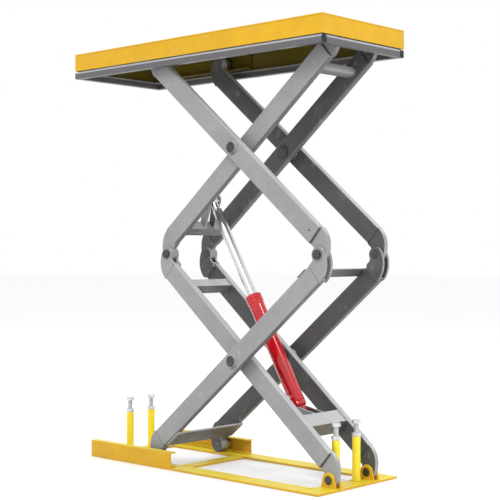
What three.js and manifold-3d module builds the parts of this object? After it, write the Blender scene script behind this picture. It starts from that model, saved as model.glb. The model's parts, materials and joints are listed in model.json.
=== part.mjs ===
// Double vertical scissor lift table, shown raised.
// Millimetres, +Z up. X runs along the table (the fixed pivots are at +X, the rollers at -X),
// -Y is the near long side. The origin is on the floor, under the middle of the platform.
import * as THREE from "three";
import { mergeVertices } from "three/addons/utils/BufferGeometryUtils.js";
import Module from "manifold-3d";

const wasm = await Module();
wasm.setup();

// ---------------------------------------------------------------- driving dimensions

const GAP = 0.3; // between pieces that rest on each other or are welded together
const RUNNING = 0.4; // radial clearance of a turning pin

// Platform
const PLATFORM_LENGTH = 1350;
const PLATFORM_WIDTH = 482;
const DECK_THICKNESS = 6;
const SKIRT_THICKNESS = 5;

// Safety trip frame that hangs under the skirt
const TRIP_HEIGHT = 28;
const TRIP_WIDTH = 24;
const TRIP_TRAVEL = 4.5;
const TRIP_LIP_THICKNESS = 3;
const TRIP_LIP_RISE = 4;
const TRIP_LIP_PLAY = 1; // to the inner face of the skirt
const TRIP_LIP_CLEARANCE = 0.5; // under the roller rails, with the frame pressed up

// Scissor mechanism
const PIVOT_INSET = 65; // fixed pivots, from the platform's right end
const ROLLER_INSET = 126; // rollers of the closed table, from the platform's left end
const REST_ANGLE = THREE.MathUtils.degToRad(43.92); // slope of the line through an arm's end pins
const ARM_HEIGHT = 78;
const ARM_WIDTH = 30;
const ARM_WALL = 4;
const ARM_CORNER = 8;
const ARM_GAP = 27; // outer arm to inner arm
const CLOSED_GAP = 6; // one tube to the next above it, closed
const DRAIN_FROM_END = 28; // the hole that opens the tube, outside on the upper outer arms, else inside
const DRAIN_RADIUS = 4;
const TUBE_END = 58; // from a tube's cut end to its end pin, along the tube

// Knuckles at the arms' ends
const LUG_CLEARANCE = 1.3; // to the base plate that they turn above
const FORK_PLATE = 10;
const LUG_THICKNESS = 20;
const SIDE_CLEARANCE = 0.5;
const CLEVIS_EAR = 8;
const EAR_FLARE = 6; // at each side of a clevis ear's foot

// Pins
const CENTRE_PIN_RADIUS = 20;
const CENTRE_HUB_WALL = 5;
const CENTRE_HUB_PROUD = 9;
const END_PIN_RADIUS = 16;
const PIN_PROUD = 12; // how far a pin's outer end stands out of an arm
const PIN_TAIL = 3; // how far a pin's inner end stands out
const PIN_CHAMFER = 2;
const WASHER_RIM = 7;
const WASHER_THICKNESS = 5;

// Rollers and their rails
const ROLLER_RADIUS = 23.2;
const ROLLER_WIDTH = 33;
const ROLLER_SPACER = 3;
const ROLLER_GROOVE = 5; // depth of the step at each side of the tread
const AXLE_RADIUS = 10;
const AXLE_INNER_PROUD = 3; // on the arm's inner face
const AXLE_OUTER_PROUD = 2; // out of the roller
const RAIL_FLANGE = 5.5;
const RAIL_WIDTH = 30;
const RAIL_PLAY = 2.6; // under one flange, with the roller on the other
const RAIL_WEB_PLAY = 4.4; // roller to web
const RAIL_TO_SKIRT = 1.6;
const RAIL_PAST_CLOSED = 27.5; // from the closed table's roller to the rail's left end
const RAIL_PAST_RAISED = 129; // from the raised table's roller to the rail's right end

// Base frame
const BASE_PLATE = 8;
const BASE_PAST_PIVOT = 39;
const SIDE_BAR_WIDTH = 80;
const END_PLATE_WIDTH = 88;
const LEFT_BAR_WIDTH = 90;
const MID_BAR_WIDTH = 56;
const MID_BAR_PAST_RAIL = 34;

// Stop posts with their setting bolts
const POST_RADIUS = 15.5;
const POST_TOP = 172;
const POST_BORE_DEPTH = 60;
const LEFT_POST_INSET = 46.5; // from the base's left end
const RIGHT_POST_INSET = 59; // from the base's right end
const POST_Y = 60;
const POST_THREAD_PLAY = 0.6;
const STOP_BOLT_RADIUS = 10;
const STOP_NUT_HEIGHT = 14;
const STOP_HEAD_HEIGHT = 13;
const STOP_HEX_FLATS = 30;

// Hydraulic cylinder on the middle plane
const BARREL_RADIUS = 30;
const BARREL_WALL = 5;
const BARREL_CHAMFER = 4;
const END_CAP_THICKNESS = 16;
const CLOSED_ROD_SHOWING = 124; // gland's face to rod pin with the table closed
const GLAND_LENGTH = 34;
const GLAND_PROUD = 3; // of the barrel
const ROD_RADIUS = 19;
const ROD_EYE_NECK = 52; // from the rod pin to the rod's full thickness
const PISTON_LENGTH = 24;
const PISTON_END_PLAY = 12; // from the end cap with the table closed
const CYLINDER_EYE_RADIUS = 24;
const CYLINDER_EYE_WIDTH = 30;
const CYLINDER_EYE_PLAY = 5; // to the ear at each side
const CYLINDER_PIN_RADIUS = 12.5;
const CYLINDER_PIN_PROUD = 4; // of the ears
const BASE_PIN_ALONG = 314; // base pin, from the fixed pivot along the line of the arm's end pins
const BASE_PIN_ACROSS = -10;
const ROD_PIN_ALONG = 247; // rod pin, from the middle joint along the upper arm's line of end pins
const ROD_PIN_ACROSS = 70;
const CYLINDER_EAR = 9;
const CYLINDER_EAR_STEP = 2; // the ears' heads are smaller than the eye

// Cross members between the arms
const CYLINDER_BEAM_FROM = 191; // from the fixed pivot
const CYLINDER_BEAM_WIDTH = 58;
const CYLINDER_BEAM_TOP = 34; // above the tube's centre line
const CYLINDER_BEAM_DEPTH = 66;
const BOX_BEAM = 40;
const BOX_BEAM_WALL = 4;
const LOWER_BEAM_ALONG = 168; // from the middle joint
const LOWER_BEAM_ACROSS = 13;
const ROD_BEAM_ALONG = 134;
const ROD_BEAM_ACROSS = -18;
const CROSS_TUBE_RADIUS = 22.5;
const CROSS_TUBE_WALL = 4;
const CROSS_TUBE_ALONG = 141; // from the platform's fixed pivot
const TIE_PLATE_FROM = 75; // from the lower roller
const TIE_PLATE_WIDTH = 85;
const TIE_PLATE_THICKNESS = 8;
const CROSS_BAR_ALONG = 105; // from the outer middle joint
const CROSS_BAR_WIDTH = 45;
const CROSS_BAR_THICKNESS = 4;
const CROSS_MEMBER_INSET = 1.5; // from the outer arms' outer faces

// Plate that carries the platform's fixed pivots
const PIVOT_PLATE_LEFT = 75; // from the pivot
const PIVOT_PLATE_RIGHT = 50;
const PIVOT_PLATE_BORDER = 12; // beside the ears
const LUG_SLOT_LEFT = 60; // from the pivot
const LUG_SLOT_PLAY = 8;
const NOTCH_PLAY = 12; // round a stop post, lengthwise
const NOTCH_SIDE_PLAY = 6;

const ARC_STEPS = 10; // to a half turn
const FINE_STEPS = 16; // to a half turn of the cylinder

// ---------------------------------------------------------------- sizes that follow

const halfLength = PLATFORM_LENGTH / 2;
const halfWidth = PLATFORM_WIDTH / 2;
const PIVOT_X = halfLength - PIVOT_INSET;
// Centre pivot to an end pin, along the tube.
const REACH = (PLATFORM_LENGTH - PIVOT_INSET - ROLLER_INSET) / 2;
const PIN_OFFSET = (ARM_HEIGHT + CLOSED_GAP) / 2; // end pins off the tube's centre line
const HALF_SPAN = Math.hypot(REACH, PIN_OFFSET); // centre pivot to an end pin
const CRANK = Math.atan2(PIN_OFFSET, REACH); // tube against the line of its end pins
const TUBE_SLOPE = REST_ANGLE - CRANK;
const TUBE_HALF = REACH - TUBE_END;

const RAIL_OUTER_FACE = halfWidth - SKIRT_THICKNESS - RAIL_TO_SKIRT;
const OUTER_FACE = RAIL_OUTER_FACE - RAIL_FLANGE - RAIL_WEB_PLAY - ROLLER_WIDTH - ROLLER_SPACER;
const INNER_FACE = OUTER_FACE - ARM_WIDTH - ARM_GAP;
const FORK_DEPTH = 2 * FORK_PLATE + LUG_THICKNESS + 2 * SIDE_CLEARANCE;
const CENTRE_HUB_RADIUS = CENTRE_PIN_RADIUS + CENTRE_HUB_WALL;
const PIN_HEIGHT = BASE_PLATE + 2 * GAP + RAIL_FLANGE + ROLLER_RADIUS;
const KNUCKLE_RADIUS = PIN_HEIGHT - BASE_PLATE - LUG_CLEARANCE;

const run = HALF_SPAN * Math.cos(REST_ANGLE);
const rise = HALF_SPAN * Math.sin(REST_ANGLE);
const LOWER_CENTRE = [PIVOT_X - run, PIN_HEIGHT + rise];
const UPPER_CENTRE = [PIVOT_X - run, PIN_HEIGHT + 3 * rise];
const ROLLER_X = PIVOT_X - 2 * run;
const RAIL_HEIGHT = 2 * (ROLLER_RADIUS + RAIL_FLANGE) + RAIL_PLAY;
const SKIRT_HEIGHT = RAIL_HEIGHT + TRIP_LIP_RISE + TRIP_LIP_CLEARANCE;
const RAIL_LEFT = PIVOT_X - 2 * REACH - RAIL_PAST_CLOSED;
const RAIL_RIGHT = ROLLER_X + RAIL_PAST_RAISED;
const BASE_RIGHT = PIVOT_X + BASE_PAST_PIVOT;
const LEFT_POST_X = RAIL_LEFT + LEFT_POST_INSET;
const RIGHT_POST_X = BASE_RIGHT - RIGHT_POST_INSET;
const TOP_PIN_Z = PIN_HEIGHT + 4 * rise;
const DECK_UNDERSIDE = TOP_PIN_Z + ROLLER_RADIUS + 2 * GAP + RAIL_FLANGE;
const CLOSED_DROP = 4 * (rise - PIN_OFFSET);
const STOP_TOP = DECK_UNDERSIDE - CLOSED_DROP - GAP;

// ---------------------------------------------------------------- materials

const paint = (color, roughness) => new THREE.MeshStandardMaterial({ color, roughness, metalness: 0.1 });
const metal = (color, roughness) => new THREE.MeshStandardMaterial({ color, roughness, metalness: 0.9 });
const yellow = paint(0xf0c11e, 0.45);
const deckYellow = paint(0xe8b32a, 0.45);
const grey = paint(0xa2a3a6, 0.4);
const red = paint(0xc4121c, 0.25);
const darkSteel = metal(0x45444a, 0.45);
const zinc = metal(0xd4d6d8, 0.35);
const chrome = metal(0xeeeeee, 0.1);
const aluminium = metal(0x8f9194, 0.4);

// ---------------------------------------------------------------- solids

function solid(geometry) {
  const bare = geometry.clone();
  bare.deleteAttribute("normal");
  bare.deleteAttribute("uv");
  const merged = mergeVertices(bare, 1e-4);
  return new wasm.Manifold(
    new wasm.Mesh({
      numProp: 3,
      vertProperties: merged.attributes.position.array,
      triVerts: new Uint32Array(merged.index.array),
    }),
  );
}

function geometryOf(shape) {
  const mesh = shape.getMesh();
  const geometry = new THREE.BufferGeometry();
  geometry.setAttribute("position", new THREE.BufferAttribute(mesh.vertProperties, 3));
  geometry.setIndex(new THREE.BufferAttribute(mesh.triVerts, 1));
  return geometry;
}

const union = (first, ...rest) => rest.reduce((whole, piece) => whole.add(piece), first);
const cut = (first, ...rest) => rest.reduce((whole, piece) => whole.subtract(piece), first);

function box([x0, x1], [y0, y1], [z0, z1]) {
  const geometry = new THREE.BoxGeometry(x1 - x0, y1 - y0, z1 - z0);
  geometry.translate((x0 + x1) / 2, (y0 + y1) / 2, (z0 + z1) / 2);
  return solid(geometry);
}

// A flat outline of [x, z] points, drawn out along Y.
function plate(points, [y0, y1]) {
  const shape = new THREE.Shape(points.map(([x, z]) => new THREE.Vector2(x, z)));
  const geometry = new THREE.ExtrudeGeometry(shape, { depth: y1 - y0, bevelEnabled: false });
  geometry.rotateX(Math.PI / 2);
  geometry.translate(0, y1, 0);
  return solid(geometry);
}

// A turned piece about an axis along Y: [radius, y] pairs from the axis back to the axis.
function turned(profile, [x, z]) {
  const low = profile[0][1];
  const high = profile[profile.length - 1][1];
  const rising = low < high ? profile : [...profile].reverse();
  const points = rising.map(([radius, y]) => new THREE.Vector2(radius, y));
  const geometry = new THREE.LatheGeometry(points, 2 * ARC_STEPS);
  geometry.translate(x, 0, z);
  return solid(geometry);
}

function rod(radius, [y0, y1], centre) {
  return turned([[0, y0], [radius, y0], [radius, y1], [0, y1]], centre);
}

function chamferedRod(radius, [y0, y1], centre) {
  const profile = [
    [0, y0],
    [radius - PIN_CHAMFER, y0],
    [radius, y0 + PIN_CHAMFER],
    [radius, y1 - PIN_CHAMFER],
    [radius - PIN_CHAMFER, y1],
    [0, y1],
  ];
  return turned(profile, centre);
}

function onCircle(radius, degrees, [x, y] = [0, 0]) {
  const angle = THREE.MathUtils.degToRad(degrees);
  return [x + radius * Math.cos(angle), y + radius * Math.sin(angle)];
}

function arc(radius, from, to, steps, centre) {
  const points = [];
  for (let i = 0; i <= steps; i++) {
    points.push(onCircle(radius, from + ((to - from) * i) / steps, centre));
  }
  return points;
}

function bezier(start, first, second, end, steps) {
  const curve = new THREE.CubicBezierCurve(
    new THREE.Vector2(...start),
    new THREE.Vector2(...first),
    new THREE.Vector2(...second),
    new THREE.Vector2(...end),
  );
  return curve.getPoints(steps).map(({ x, y }) => [x, y]);
}

function rectangle(width, height) {
  const x = width / 2;
  const y = height / 2;
  return [[x, y], [-x, y], [-x, -y], [x, -y]];
}

function roundedRectangle(width, height, radius) {
  const centres = rectangle(width - 2 * radius, height - 2 * radius);
  return centres.flatMap((centre, i) => arc(radius, 90 * i, 90 * i + 90, 2, centre));
}

// Spans of Y on the near (-1) or far (+1) side, given as distances from the middle plane.
const onSide = (side, from, to) => (side < 0 ? [-to, -from] : [from, to]);

const group = new THREE.Group();

function add(name, shape, material) {
  const mesh = new THREE.Mesh(geometryOf(shape), material);
  mesh.name = name;
  group.add(mesh);
}

const SIDES = [["near", -1], ["far", 1]];

// ---------------------------------------------------------------- arms

// An arm's own frame: u along the tube from its low end to its high end, v across it, upwards.
// leans is +1 for an arm that rises to the right and -1 for one that rises to the left.
function armFrame(centre, leans) {
  const along = [leans * Math.cos(TUBE_SLOPE), Math.sin(TUBE_SLOPE)];
  const across = [-leans * Math.sin(TUBE_SLOPE), Math.cos(TUBE_SLOPE)];
  const place = ([u, v]) => [
    centre[0] + u * along[0] + v * across[0],
    centre[1] + u * along[1] + v * across[1],
  ];
  const matrix = new THREE.Matrix4().makeBasis(
    new THREE.Vector3(0, leans, 0),
    new THREE.Vector3(across[0], 0, across[1]),
    new THREE.Vector3(along[0], 0, along[1]),
  );
  matrix.setPosition(centre[0], 0, centre[1]);
  return { place, matrix, leans };
}

const lowerOuter = armFrame(LOWER_CENTRE, 1);
const lowerInner = armFrame(LOWER_CENTRE, -1);
const upperOuter = armFrame(UPPER_CENTRE, -1);
const upperInner = armFrame(UPPER_CENTRE, 1);

// A straight bar of a given [y, v] section between two places along the arm.
function barAlong(frame, section, fromU, toU, y) {
  const shape = new THREE.Shape(section.map(([a, b]) => new THREE.Vector2(a, b)));
  const geometry = new THREE.ExtrudeGeometry(shape, { depth: toU - fromU, bevelEnabled: false });
  geometry.translate(frame.leans * y, 0, fromU);
  geometry.applyMatrix4(frame.matrix);
  return solid(geometry);
}

// The curved plate from a tube's cut end to its end pin. end is +1 at the high end, -1 at the low end.
function knuckle(frame, end, span) {
  const edge = CLOSED_GAP / 2; // the tube's inner edge, from the pin
  const back = edge + ARM_HEIGHT;
  const r = KNUCKLE_RADIUS;
  const inner = onCircle(r, 165);
  const outer = onCircle(r, -12);
  const points = [
    [-TUBE_END, -back],
    ...bezier([-TUBE_END, -back], [-0.25 * TUBE_END, -back], [outer[0] - 8, -1.6 * r], outer, 7),
    ...arc(r, -12, 165, ARC_STEPS),
    ...bezier(inner, [-1.1 * r, -edge], [-1.1 * r, -edge], [-TUBE_END, -edge], 4),
    [-TUBE_END - FORK_PLATE, -edge - ARM_CORNER],
    [-TUBE_END - FORK_PLATE, -back + ARM_CORNER],
  ];
  const pin = [end * REACH, end * PIN_OFFSET];
  return plate(
    points.map(([u, v]) => frame.place([pin[0] + end * u, pin[1] + end * v])),
    span,
  );
}

const pinAt = (frame, end) => frame.place([end * REACH, end * PIN_OFFSET]);

// The joint at each end of an arm: a fork of two plates, a lug between them, or a solid roller end.
function armEnd(frame, end, form, face, side) {
  const bore = END_PIN_RADIUS + (form === "fork" ? GAP : RUNNING);
  const centre = pinAt(frame, end);
  const hole = rod(bore, onSide(side, 0, OUTER_FACE + PIN_PROUD), centre);
  if (form === "fork") {
    const plates = [
      knuckle(frame, end, onSide(side, face - FORK_PLATE, face)),
      knuckle(frame, end, onSide(side, face - FORK_DEPTH, face - FORK_DEPTH + FORK_PLATE)),
    ];
    const root = knuckleRoot(frame, end, onSide(side, face - FORK_DEPTH, face));
    return cut(union(...plates, root), hole);
  }
  if (form === "lug") {
    const outside = face - FORK_PLATE - SIDE_CLEARANCE;
    return cut(knuckle(frame, end, onSide(side, outside - LUG_THICKNESS, outside)), hole);
  }
  const body = knuckle(frame, end, onSide(side, face - ARM_WIDTH, face));
  const axleEnd = face + ROLLER_SPACER + ROLLER_WIDTH + AXLE_OUTER_PROUD;
  const axle = rod(AXLE_RADIUS, onSide(side, face - ARM_WIDTH - AXLE_INNER_PROUD, axleEnd), centre);
  return union(body, axle);
}

// The block that closes a tube's end and joins the two plates of a fork.
function knuckleRoot(frame, end, span) {
  const edge = CLOSED_GAP / 2;
  const back = edge + ARM_HEIGHT;
  const corners = [
    [-TUBE_END - FORK_PLATE, -back + ARM_CORNER],
    [-TUBE_END + FORK_PLATE, -back + 1],
    [-TUBE_END + FORK_PLATE, -edge - 1],
    [-TUBE_END - FORK_PLATE, -edge - ARM_CORNER],
  ];
  const pin = [end * REACH, end * PIN_OFFSET];
  return plate(
    corners.map(([u, v]) => frame.place([pin[0] + end * u, pin[1] + end * v])),
    span,
  );
}

function arm(frame, side, face, lowEnd, highEnd) {
  const middle = side * (face - ARM_WIDTH / 2);
  const wall = 2 * ARM_WALL;
  const outside = roundedRectangle(ARM_WIDTH, ARM_HEIGHT, ARM_CORNER);
  const inside = rectangle(ARM_WIDTH - wall, ARM_HEIGHT - wall);
  const centre = frame.place([0, 0]);
  const isOuter = face === OUTER_FACE;
  const hubInner = isOuter ? INNER_FACE + SIDE_CLEARANCE : INNER_FACE - ARM_WIDTH;
  const hubOuter = isOuter ? OUTER_FACE + CENTRE_HUB_PROUD : INNER_FACE;
  const hubBore = CENTRE_PIN_RADIUS + (isOuter ? RUNNING : GAP);
  const drain = frame.place([DRAIN_FROM_END - TUBE_HALF, 0]);
  const drainFace = frame === upperOuter ? face : face - ARM_WIDTH;
  const body = union(
    cut(
      barAlong(frame, outside, -TUBE_HALF, TUBE_HALF, middle),
      barAlong(frame, inside, -TUBE_HALF + ARM_WALL, TUBE_HALF - ARM_WALL, middle),
      rod(DRAIN_RADIUS, onSide(side, drainFace - ARM_WALL - 1, drainFace + ARM_WALL + 1), drain),
      rod(CENTRE_HUB_RADIUS - 1, onSide(side, face - ARM_WIDTH - 1, face + 1), centre),
    ),
    rod(CENTRE_HUB_RADIUS, onSide(side, hubInner, hubOuter), centre),
    armEnd(frame, -1, lowEnd, face, side),
    armEnd(frame, 1, highEnd, face, side),
  );
  return cut(body, rod(hubBore, onSide(side, 0, OUTER_FACE + 2 * PIN_PROUD), centre));
}

for (const [name, side] of SIDES) {
  add(`lower_outer_arm_${name}`, arm(lowerOuter, side, OUTER_FACE, "roller", "fork"), grey);
  add(`lower_inner_arm_${name}`, arm(lowerInner, side, INNER_FACE, "lug", "fork"), grey);
  add(`upper_outer_arm_${name}`, arm(upperOuter, side, OUTER_FACE, "lug", "roller"), grey);
  add(`upper_inner_arm_${name}`, arm(upperInner, side, INNER_FACE, "lug", "lug"), grey);
}

// ---------------------------------------------------------------- pins

// A centre pin is fixed in the inner arm and turns in the outer arm's hub.
function centrePin(centre, side) {
  const inner = INNER_FACE - ARM_WIDTH - GAP;
  const tail = inner - WASHER_THICKNESS - PIN_TAIL;
  return union(
    chamferedRod(CENTRE_PIN_RADIUS, onSide(side, tail, OUTER_FACE + PIN_PROUD), centre),
    rod(CENTRE_PIN_RADIUS + WASHER_RIM, onSide(side, inner - WASHER_THICKNESS, inner), centre),
  );
}

// An end pin is held by the fork plates of a joint, or by a clevis's ears.
function endPin(centre, side, from, to) {
  return chamferedRod(END_PIN_RADIUS, onSide(side, from, to), centre);
}

const lugOutside = INNER_FACE - FORK_PLATE - SIDE_CLEARANCE;
const clevisOutside = lugOutside + SIDE_CLEARANCE + CLEVIS_EAR;
const clevisInside = lugOutside - LUG_THICKNESS - SIDE_CLEARANCE - CLEVIS_EAR;

for (const [name, side] of SIDES) {
  add(`lower_centre_pin_${name}`, centrePin(LOWER_CENTRE, side), darkSteel);
  add(`upper_centre_pin_${name}`, centrePin(UPPER_CENTRE, side), darkSteel);
  const outer = [OUTER_FACE - FORK_DEPTH - PIN_TAIL, OUTER_FACE + PIN_PROUD];
  const inner = [INNER_FACE - FORK_DEPTH - PIN_TAIL, INNER_FACE + PIN_PROUD];
  const clevis = [clevisInside - PIN_TAIL, clevisOutside + PIN_TAIL];
  add(`outer_joint_pin_${name}`, endPin(pinAt(lowerOuter, 1), side, ...outer), darkSteel);
  add(`inner_joint_pin_${name}`, endPin(pinAt(lowerInner, 1), side, ...inner), darkSteel);
  add(`base_pivot_pin_${name}`, endPin(pinAt(lowerInner, -1), side, ...clevis), darkSteel);
  add(`platform_pivot_pin_${name}`, endPin(pinAt(upperInner, 1), side, ...clevis), darkSteel);
}

// ---------------------------------------------------------------- rollers and rails

function roller(centre, side) {
  const inner = OUTER_FACE + ROLLER_SPACER;
  const outer = inner + ROLLER_WIDTH;
  const shoulder = ROLLER_RADIUS - ROLLER_GROOVE;
  const tread = [
    [0, inner],
    [shoulder, inner],
    [shoulder, inner + 1.5],
    [ROLLER_RADIUS, inner + 3],
    [ROLLER_RADIUS, outer - 3],
    [shoulder, outer - 1.5],
    [shoulder, outer],
    [0, outer],
  ];
  const signed = tread.map(([radius, y]) => [radius, side * y]);
  return cut(turned(signed, centre), rod(AXLE_RADIUS + RUNNING, onSide(side, 0, outer + 1), centre));
}

// A channel with its web outside and its open side towards the arms.
function rail(side, bottom) {
  const spanX = [RAIL_LEFT, RAIL_RIGHT];
  const inside = RAIL_OUTER_FACE - RAIL_WIDTH;
  const web = RAIL_OUTER_FACE - RAIL_FLANGE;
  const top = bottom + RAIL_HEIGHT;
  const opening = [bottom + RAIL_FLANGE, top - RAIL_FLANGE];
  return cut(
    box(spanX, onSide(side, inside, RAIL_OUTER_FACE), [bottom, top]),
    box([RAIL_LEFT - 1, RAIL_RIGHT + 1], onSide(side, inside - 1, web), opening),
  );
}

for (const [name, side] of SIDES) {
  add(`lower_roller_${name}`, roller(pinAt(lowerOuter, -1), side), zinc);
  add(`upper_roller_${name}`, roller(pinAt(upperOuter, 1), side), zinc);
  add(`base_roller_rail_${name}`, rail(side, BASE_PLATE + GAP), yellow);
  add(`platform_roller_rail_${name}`, rail(side, DECK_UNDERSIDE - GAP - RAIL_HEIGHT), deckYellow);
}

// ---------------------------------------------------------------- base frame

// A clevis ear: a round head about the pin on a foot that widens to the plate it is welded to.
function ear(side, from, to, footZ, headUp) {
  const pinZ = headUp ? PIN_HEIGHT : TOP_PIN_Z;
  const sign = headUp ? 1 : -1;
  const foot = sign * (footZ - pinZ);
  const head = arc(KNUCKLE_RADIUS, 0, 180, ARC_STEPS);
  const halfFoot = KNUCKLE_RADIUS + EAR_FLARE;
  const points = [[halfFoot, foot], ...head, [-halfFoot, foot]];
  const outline = points.map(([x, z]) => [PIVOT_X + x, pinZ + sign * z]);
  return plate(outline, onSide(side, from, to));
}

function withEars(base, footZ, headUp) {
  let whole = base;
  for (const [, side] of SIDES) {
    whole = whole.add(ear(side, clevisOutside - CLEVIS_EAR, clevisOutside, footZ, headUp));
    whole = whole.add(ear(side, clevisInside, clevisInside + CLEVIS_EAR, footZ, headUp));
  }
  const pinZ = headUp ? PIN_HEIGHT : TOP_PIN_Z;
  return cut(whole, rod(END_PIN_RADIUS + GAP, [-clevisOutside - 1, clevisOutside + 1], [PIVOT_X, pinZ]));
}

const endPlateLeft = BASE_RIGHT - END_PLATE_WIDTH;
const floorPlate = (spanX, spanY) => box(spanX, spanY, [0, BASE_PLATE]);
const betweenBars = RAIL_OUTER_FACE - SIDE_BAR_WIDTH - GAP;
const acrossBars = [-betweenBars, betweenBars];

for (const [name, side] of SIDES) {
  const spanY = onSide(side, RAIL_OUTER_FACE - SIDE_BAR_WIDTH, RAIL_OUTER_FACE);
  add(`base_side_bar_${name}`, floorPlate([RAIL_LEFT, endPlateLeft - GAP], spanY), yellow);
}
add("base_left_bar", floorPlate([RAIL_LEFT, RAIL_LEFT + LEFT_BAR_WIDTH], acrossBars), yellow);
const midBarRight = RAIL_RIGHT + MID_BAR_PAST_RAIL;
add("base_middle_bar", floorPlate([midBarRight - MID_BAR_WIDTH, midBarRight], acrossBars), yellow);
const endPlate = floorPlate([endPlateLeft, BASE_RIGHT], [-RAIL_OUTER_FACE, RAIL_OUTER_FACE]);
add("base_end_plate", withEars(endPlate, BASE_PLATE - 1, true), yellow);

// ---------------------------------------------------------------- stops

function uprightRod(radius, [z0, z1], [x, y], segments = 2 * ARC_STEPS) {
  const geometry = new THREE.CylinderGeometry(radius, radius, z1 - z0, segments);
  geometry.rotateX(Math.PI / 2);
  geometry.translate(x, y, (z0 + z1) / 2);
  return solid(geometry);
}

const hexRadius = STOP_HEX_FLATS / Math.sqrt(3);
const postBore = STOP_BOLT_RADIUS + POST_THREAD_PLAY;
const boreFloor = POST_TOP - POST_BORE_DEPTH;
const boltFoot = boreFloor + 5;

for (const [end, x] of [["left", LEFT_POST_X], ["right", RIGHT_POST_X]]) {
  for (const [name, side] of SIDES) {
    const centre = [x, side * POST_Y];
    const post = cut(
      uprightRod(POST_RADIUS, [BASE_PLATE + GAP, POST_TOP], centre),
      uprightRod(postBore, [boreFloor, POST_TOP + 1], centre),
    );
    const nutFoot = POST_TOP + GAP;
    const bolt = union(
      uprightRod(STOP_BOLT_RADIUS, [boltFoot, STOP_TOP - 1], centre, ARC_STEPS),
      uprightRod(hexRadius, [nutFoot, nutFoot + STOP_NUT_HEIGHT], centre, 6),
      uprightRod(hexRadius, [STOP_TOP - STOP_HEAD_HEIGHT, STOP_TOP], centre, 6),
    );
    add(`stop_post_${end}_${name}`, post, yellow);
    add(`stop_bolt_${end}_${name}`, bolt, zinc);
  }
}

// ---------------------------------------------------------------- platform

const skirtTop = DECK_UNDERSIDE - GAP;
const skirtBottom = skirtTop - SKIRT_HEIGHT;
const spanSkirt = [skirtBottom, skirtTop];
const deckSpan = [DECK_UNDERSIDE, DECK_UNDERSIDE + DECK_THICKNESS];

add("platform_deck", box([-halfLength, halfLength], [-halfWidth, halfWidth], deckSpan), deckYellow);
for (const [name, side] of SIDES) {
  const spanY = onSide(side, halfWidth - SKIRT_THICKNESS, halfWidth);
  add(`platform_skirt_${name}`, box([-halfLength, halfLength], spanY, spanSkirt), deckYellow);
}
const betweenSkirts = halfWidth - SKIRT_THICKNESS - GAP;
for (const [name, sign] of [["left", -1], ["right", 1]]) {
  const spanX = onSide(sign, halfLength - SKIRT_THICKNESS, halfLength);
  add(`platform_skirt_${name}`, box(spanX, [-betweenSkirts, betweenSkirts], spanSkirt), deckYellow);
}

// The plate that carries the platform's fixed pivots has slots that the arms' lugs turn through,
// and a notch for the stop bolts to pass.
const pivotPlateTop = DECK_UNDERSIDE - GAP;
const pivotPlateBottom = pivotPlateTop - BASE_PLATE;
const pivotPlateRight = PIVOT_X + PIVOT_PLATE_RIGHT;
const pivotPlateHalf = clevisOutside + PIVOT_PLATE_BORDER;
const plateCut = (spanX, spanY) => box(spanX, spanY, [pivotPlateBottom - 1, pivotPlateTop + 1]);
let pivotPlate = box(
  [PIVOT_X - PIVOT_PLATE_LEFT, pivotPlateRight],
  [-pivotPlateHalf, pivotPlateHalf],
  [pivotPlateBottom, pivotPlateTop],
);
const lugSlot = [PIVOT_X - LUG_SLOT_LEFT, PIVOT_X + KNUCKLE_RADIUS + LUG_SLOT_PLAY];
for (const [, side] of SIDES) {
  const slotY = onSide(side, clevisInside + CLEVIS_EAR, clevisOutside - CLEVIS_EAR);
  pivotPlate = pivotPlate.subtract(plateCut(lugSlot, slotY));
}
const notchLeft = RIGHT_POST_X - POST_RADIUS - NOTCH_PLAY;
const notchHalf = POST_Y + POST_RADIUS + NOTCH_SIDE_PLAY;
pivotPlate = pivotPlate.subtract(plateCut([notchLeft, pivotPlateRight + 1], [-notchHalf, notchHalf]));
add("platform_pivot_plate", withEars(pivotPlate, pivotPlateTop - 1, false), grey);

// ---------------------------------------------------------------- trip frame

const tripTop = skirtBottom - TRIP_TRAVEL - GAP;
const tripSpan = [tripTop - TRIP_HEIGHT, tripTop];
const lipSpan = [tripTop - 1, tripTop + TRIP_LIP_RISE];
const lipOuter = halfWidth - SKIRT_THICKNESS - TRIP_LIP_PLAY;
for (const [name, side] of SIDES) {
  const bar = union(
    box([-halfLength, halfLength], onSide(side, halfWidth - TRIP_WIDTH, halfWidth), tripSpan),
    box(
      [-halfLength + TRIP_WIDTH, halfLength - TRIP_WIDTH],
      onSide(side, lipOuter - TRIP_LIP_THICKNESS, lipOuter),
      lipSpan,
    ),
  );
  add(`trip_bar_${name}`, bar, aluminium);
}
const lipEnd = halfLength - SKIRT_THICKNESS - TRIP_LIP_PLAY;
for (const [name, sign] of [["left", -1], ["right", 1]]) {
  const inside = halfWidth - TRIP_WIDTH - GAP;
  const bar = union(
    box(onSide(sign, halfLength - TRIP_WIDTH, halfLength), [-inside, inside], tripSpan),
    box(onSide(sign, lipEnd - TRIP_LIP_THICKNESS, lipEnd), [-inside, inside], lipSpan),
  );
  add(`trip_bar_${name}`, bar, aluminium);
}

// ---------------------------------------------------------------- cross members

const innerHalf = INNER_FACE - ARM_WIDTH - GAP;
const outerHalf = OUTER_FACE - CROSS_MEMBER_INSET;

// A bar across the machine whose section is given in an arm's frame.
function crossBar(frame, [u0, u1], [v0, v1], halfWidthY) {
  const corners = [[u0, v0], [u1, v0], [u1, v1], [u0, v1]];
  return plate(corners.map(frame.place), [-halfWidthY, halfWidthY]);
}

function boxBeam(frame, [u, v], halfWidthY) {
  const half = BOX_BEAM / 2;
  const hollow = half - BOX_BEAM_WALL;
  return cut(
    crossBar(frame, [u - half, u + half], [v - half, v + half], halfWidthY),
    crossBar(frame, [u - hollow, u + hollow], [v - hollow, v + hollow], halfWidthY + 1),
  );
}

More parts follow.
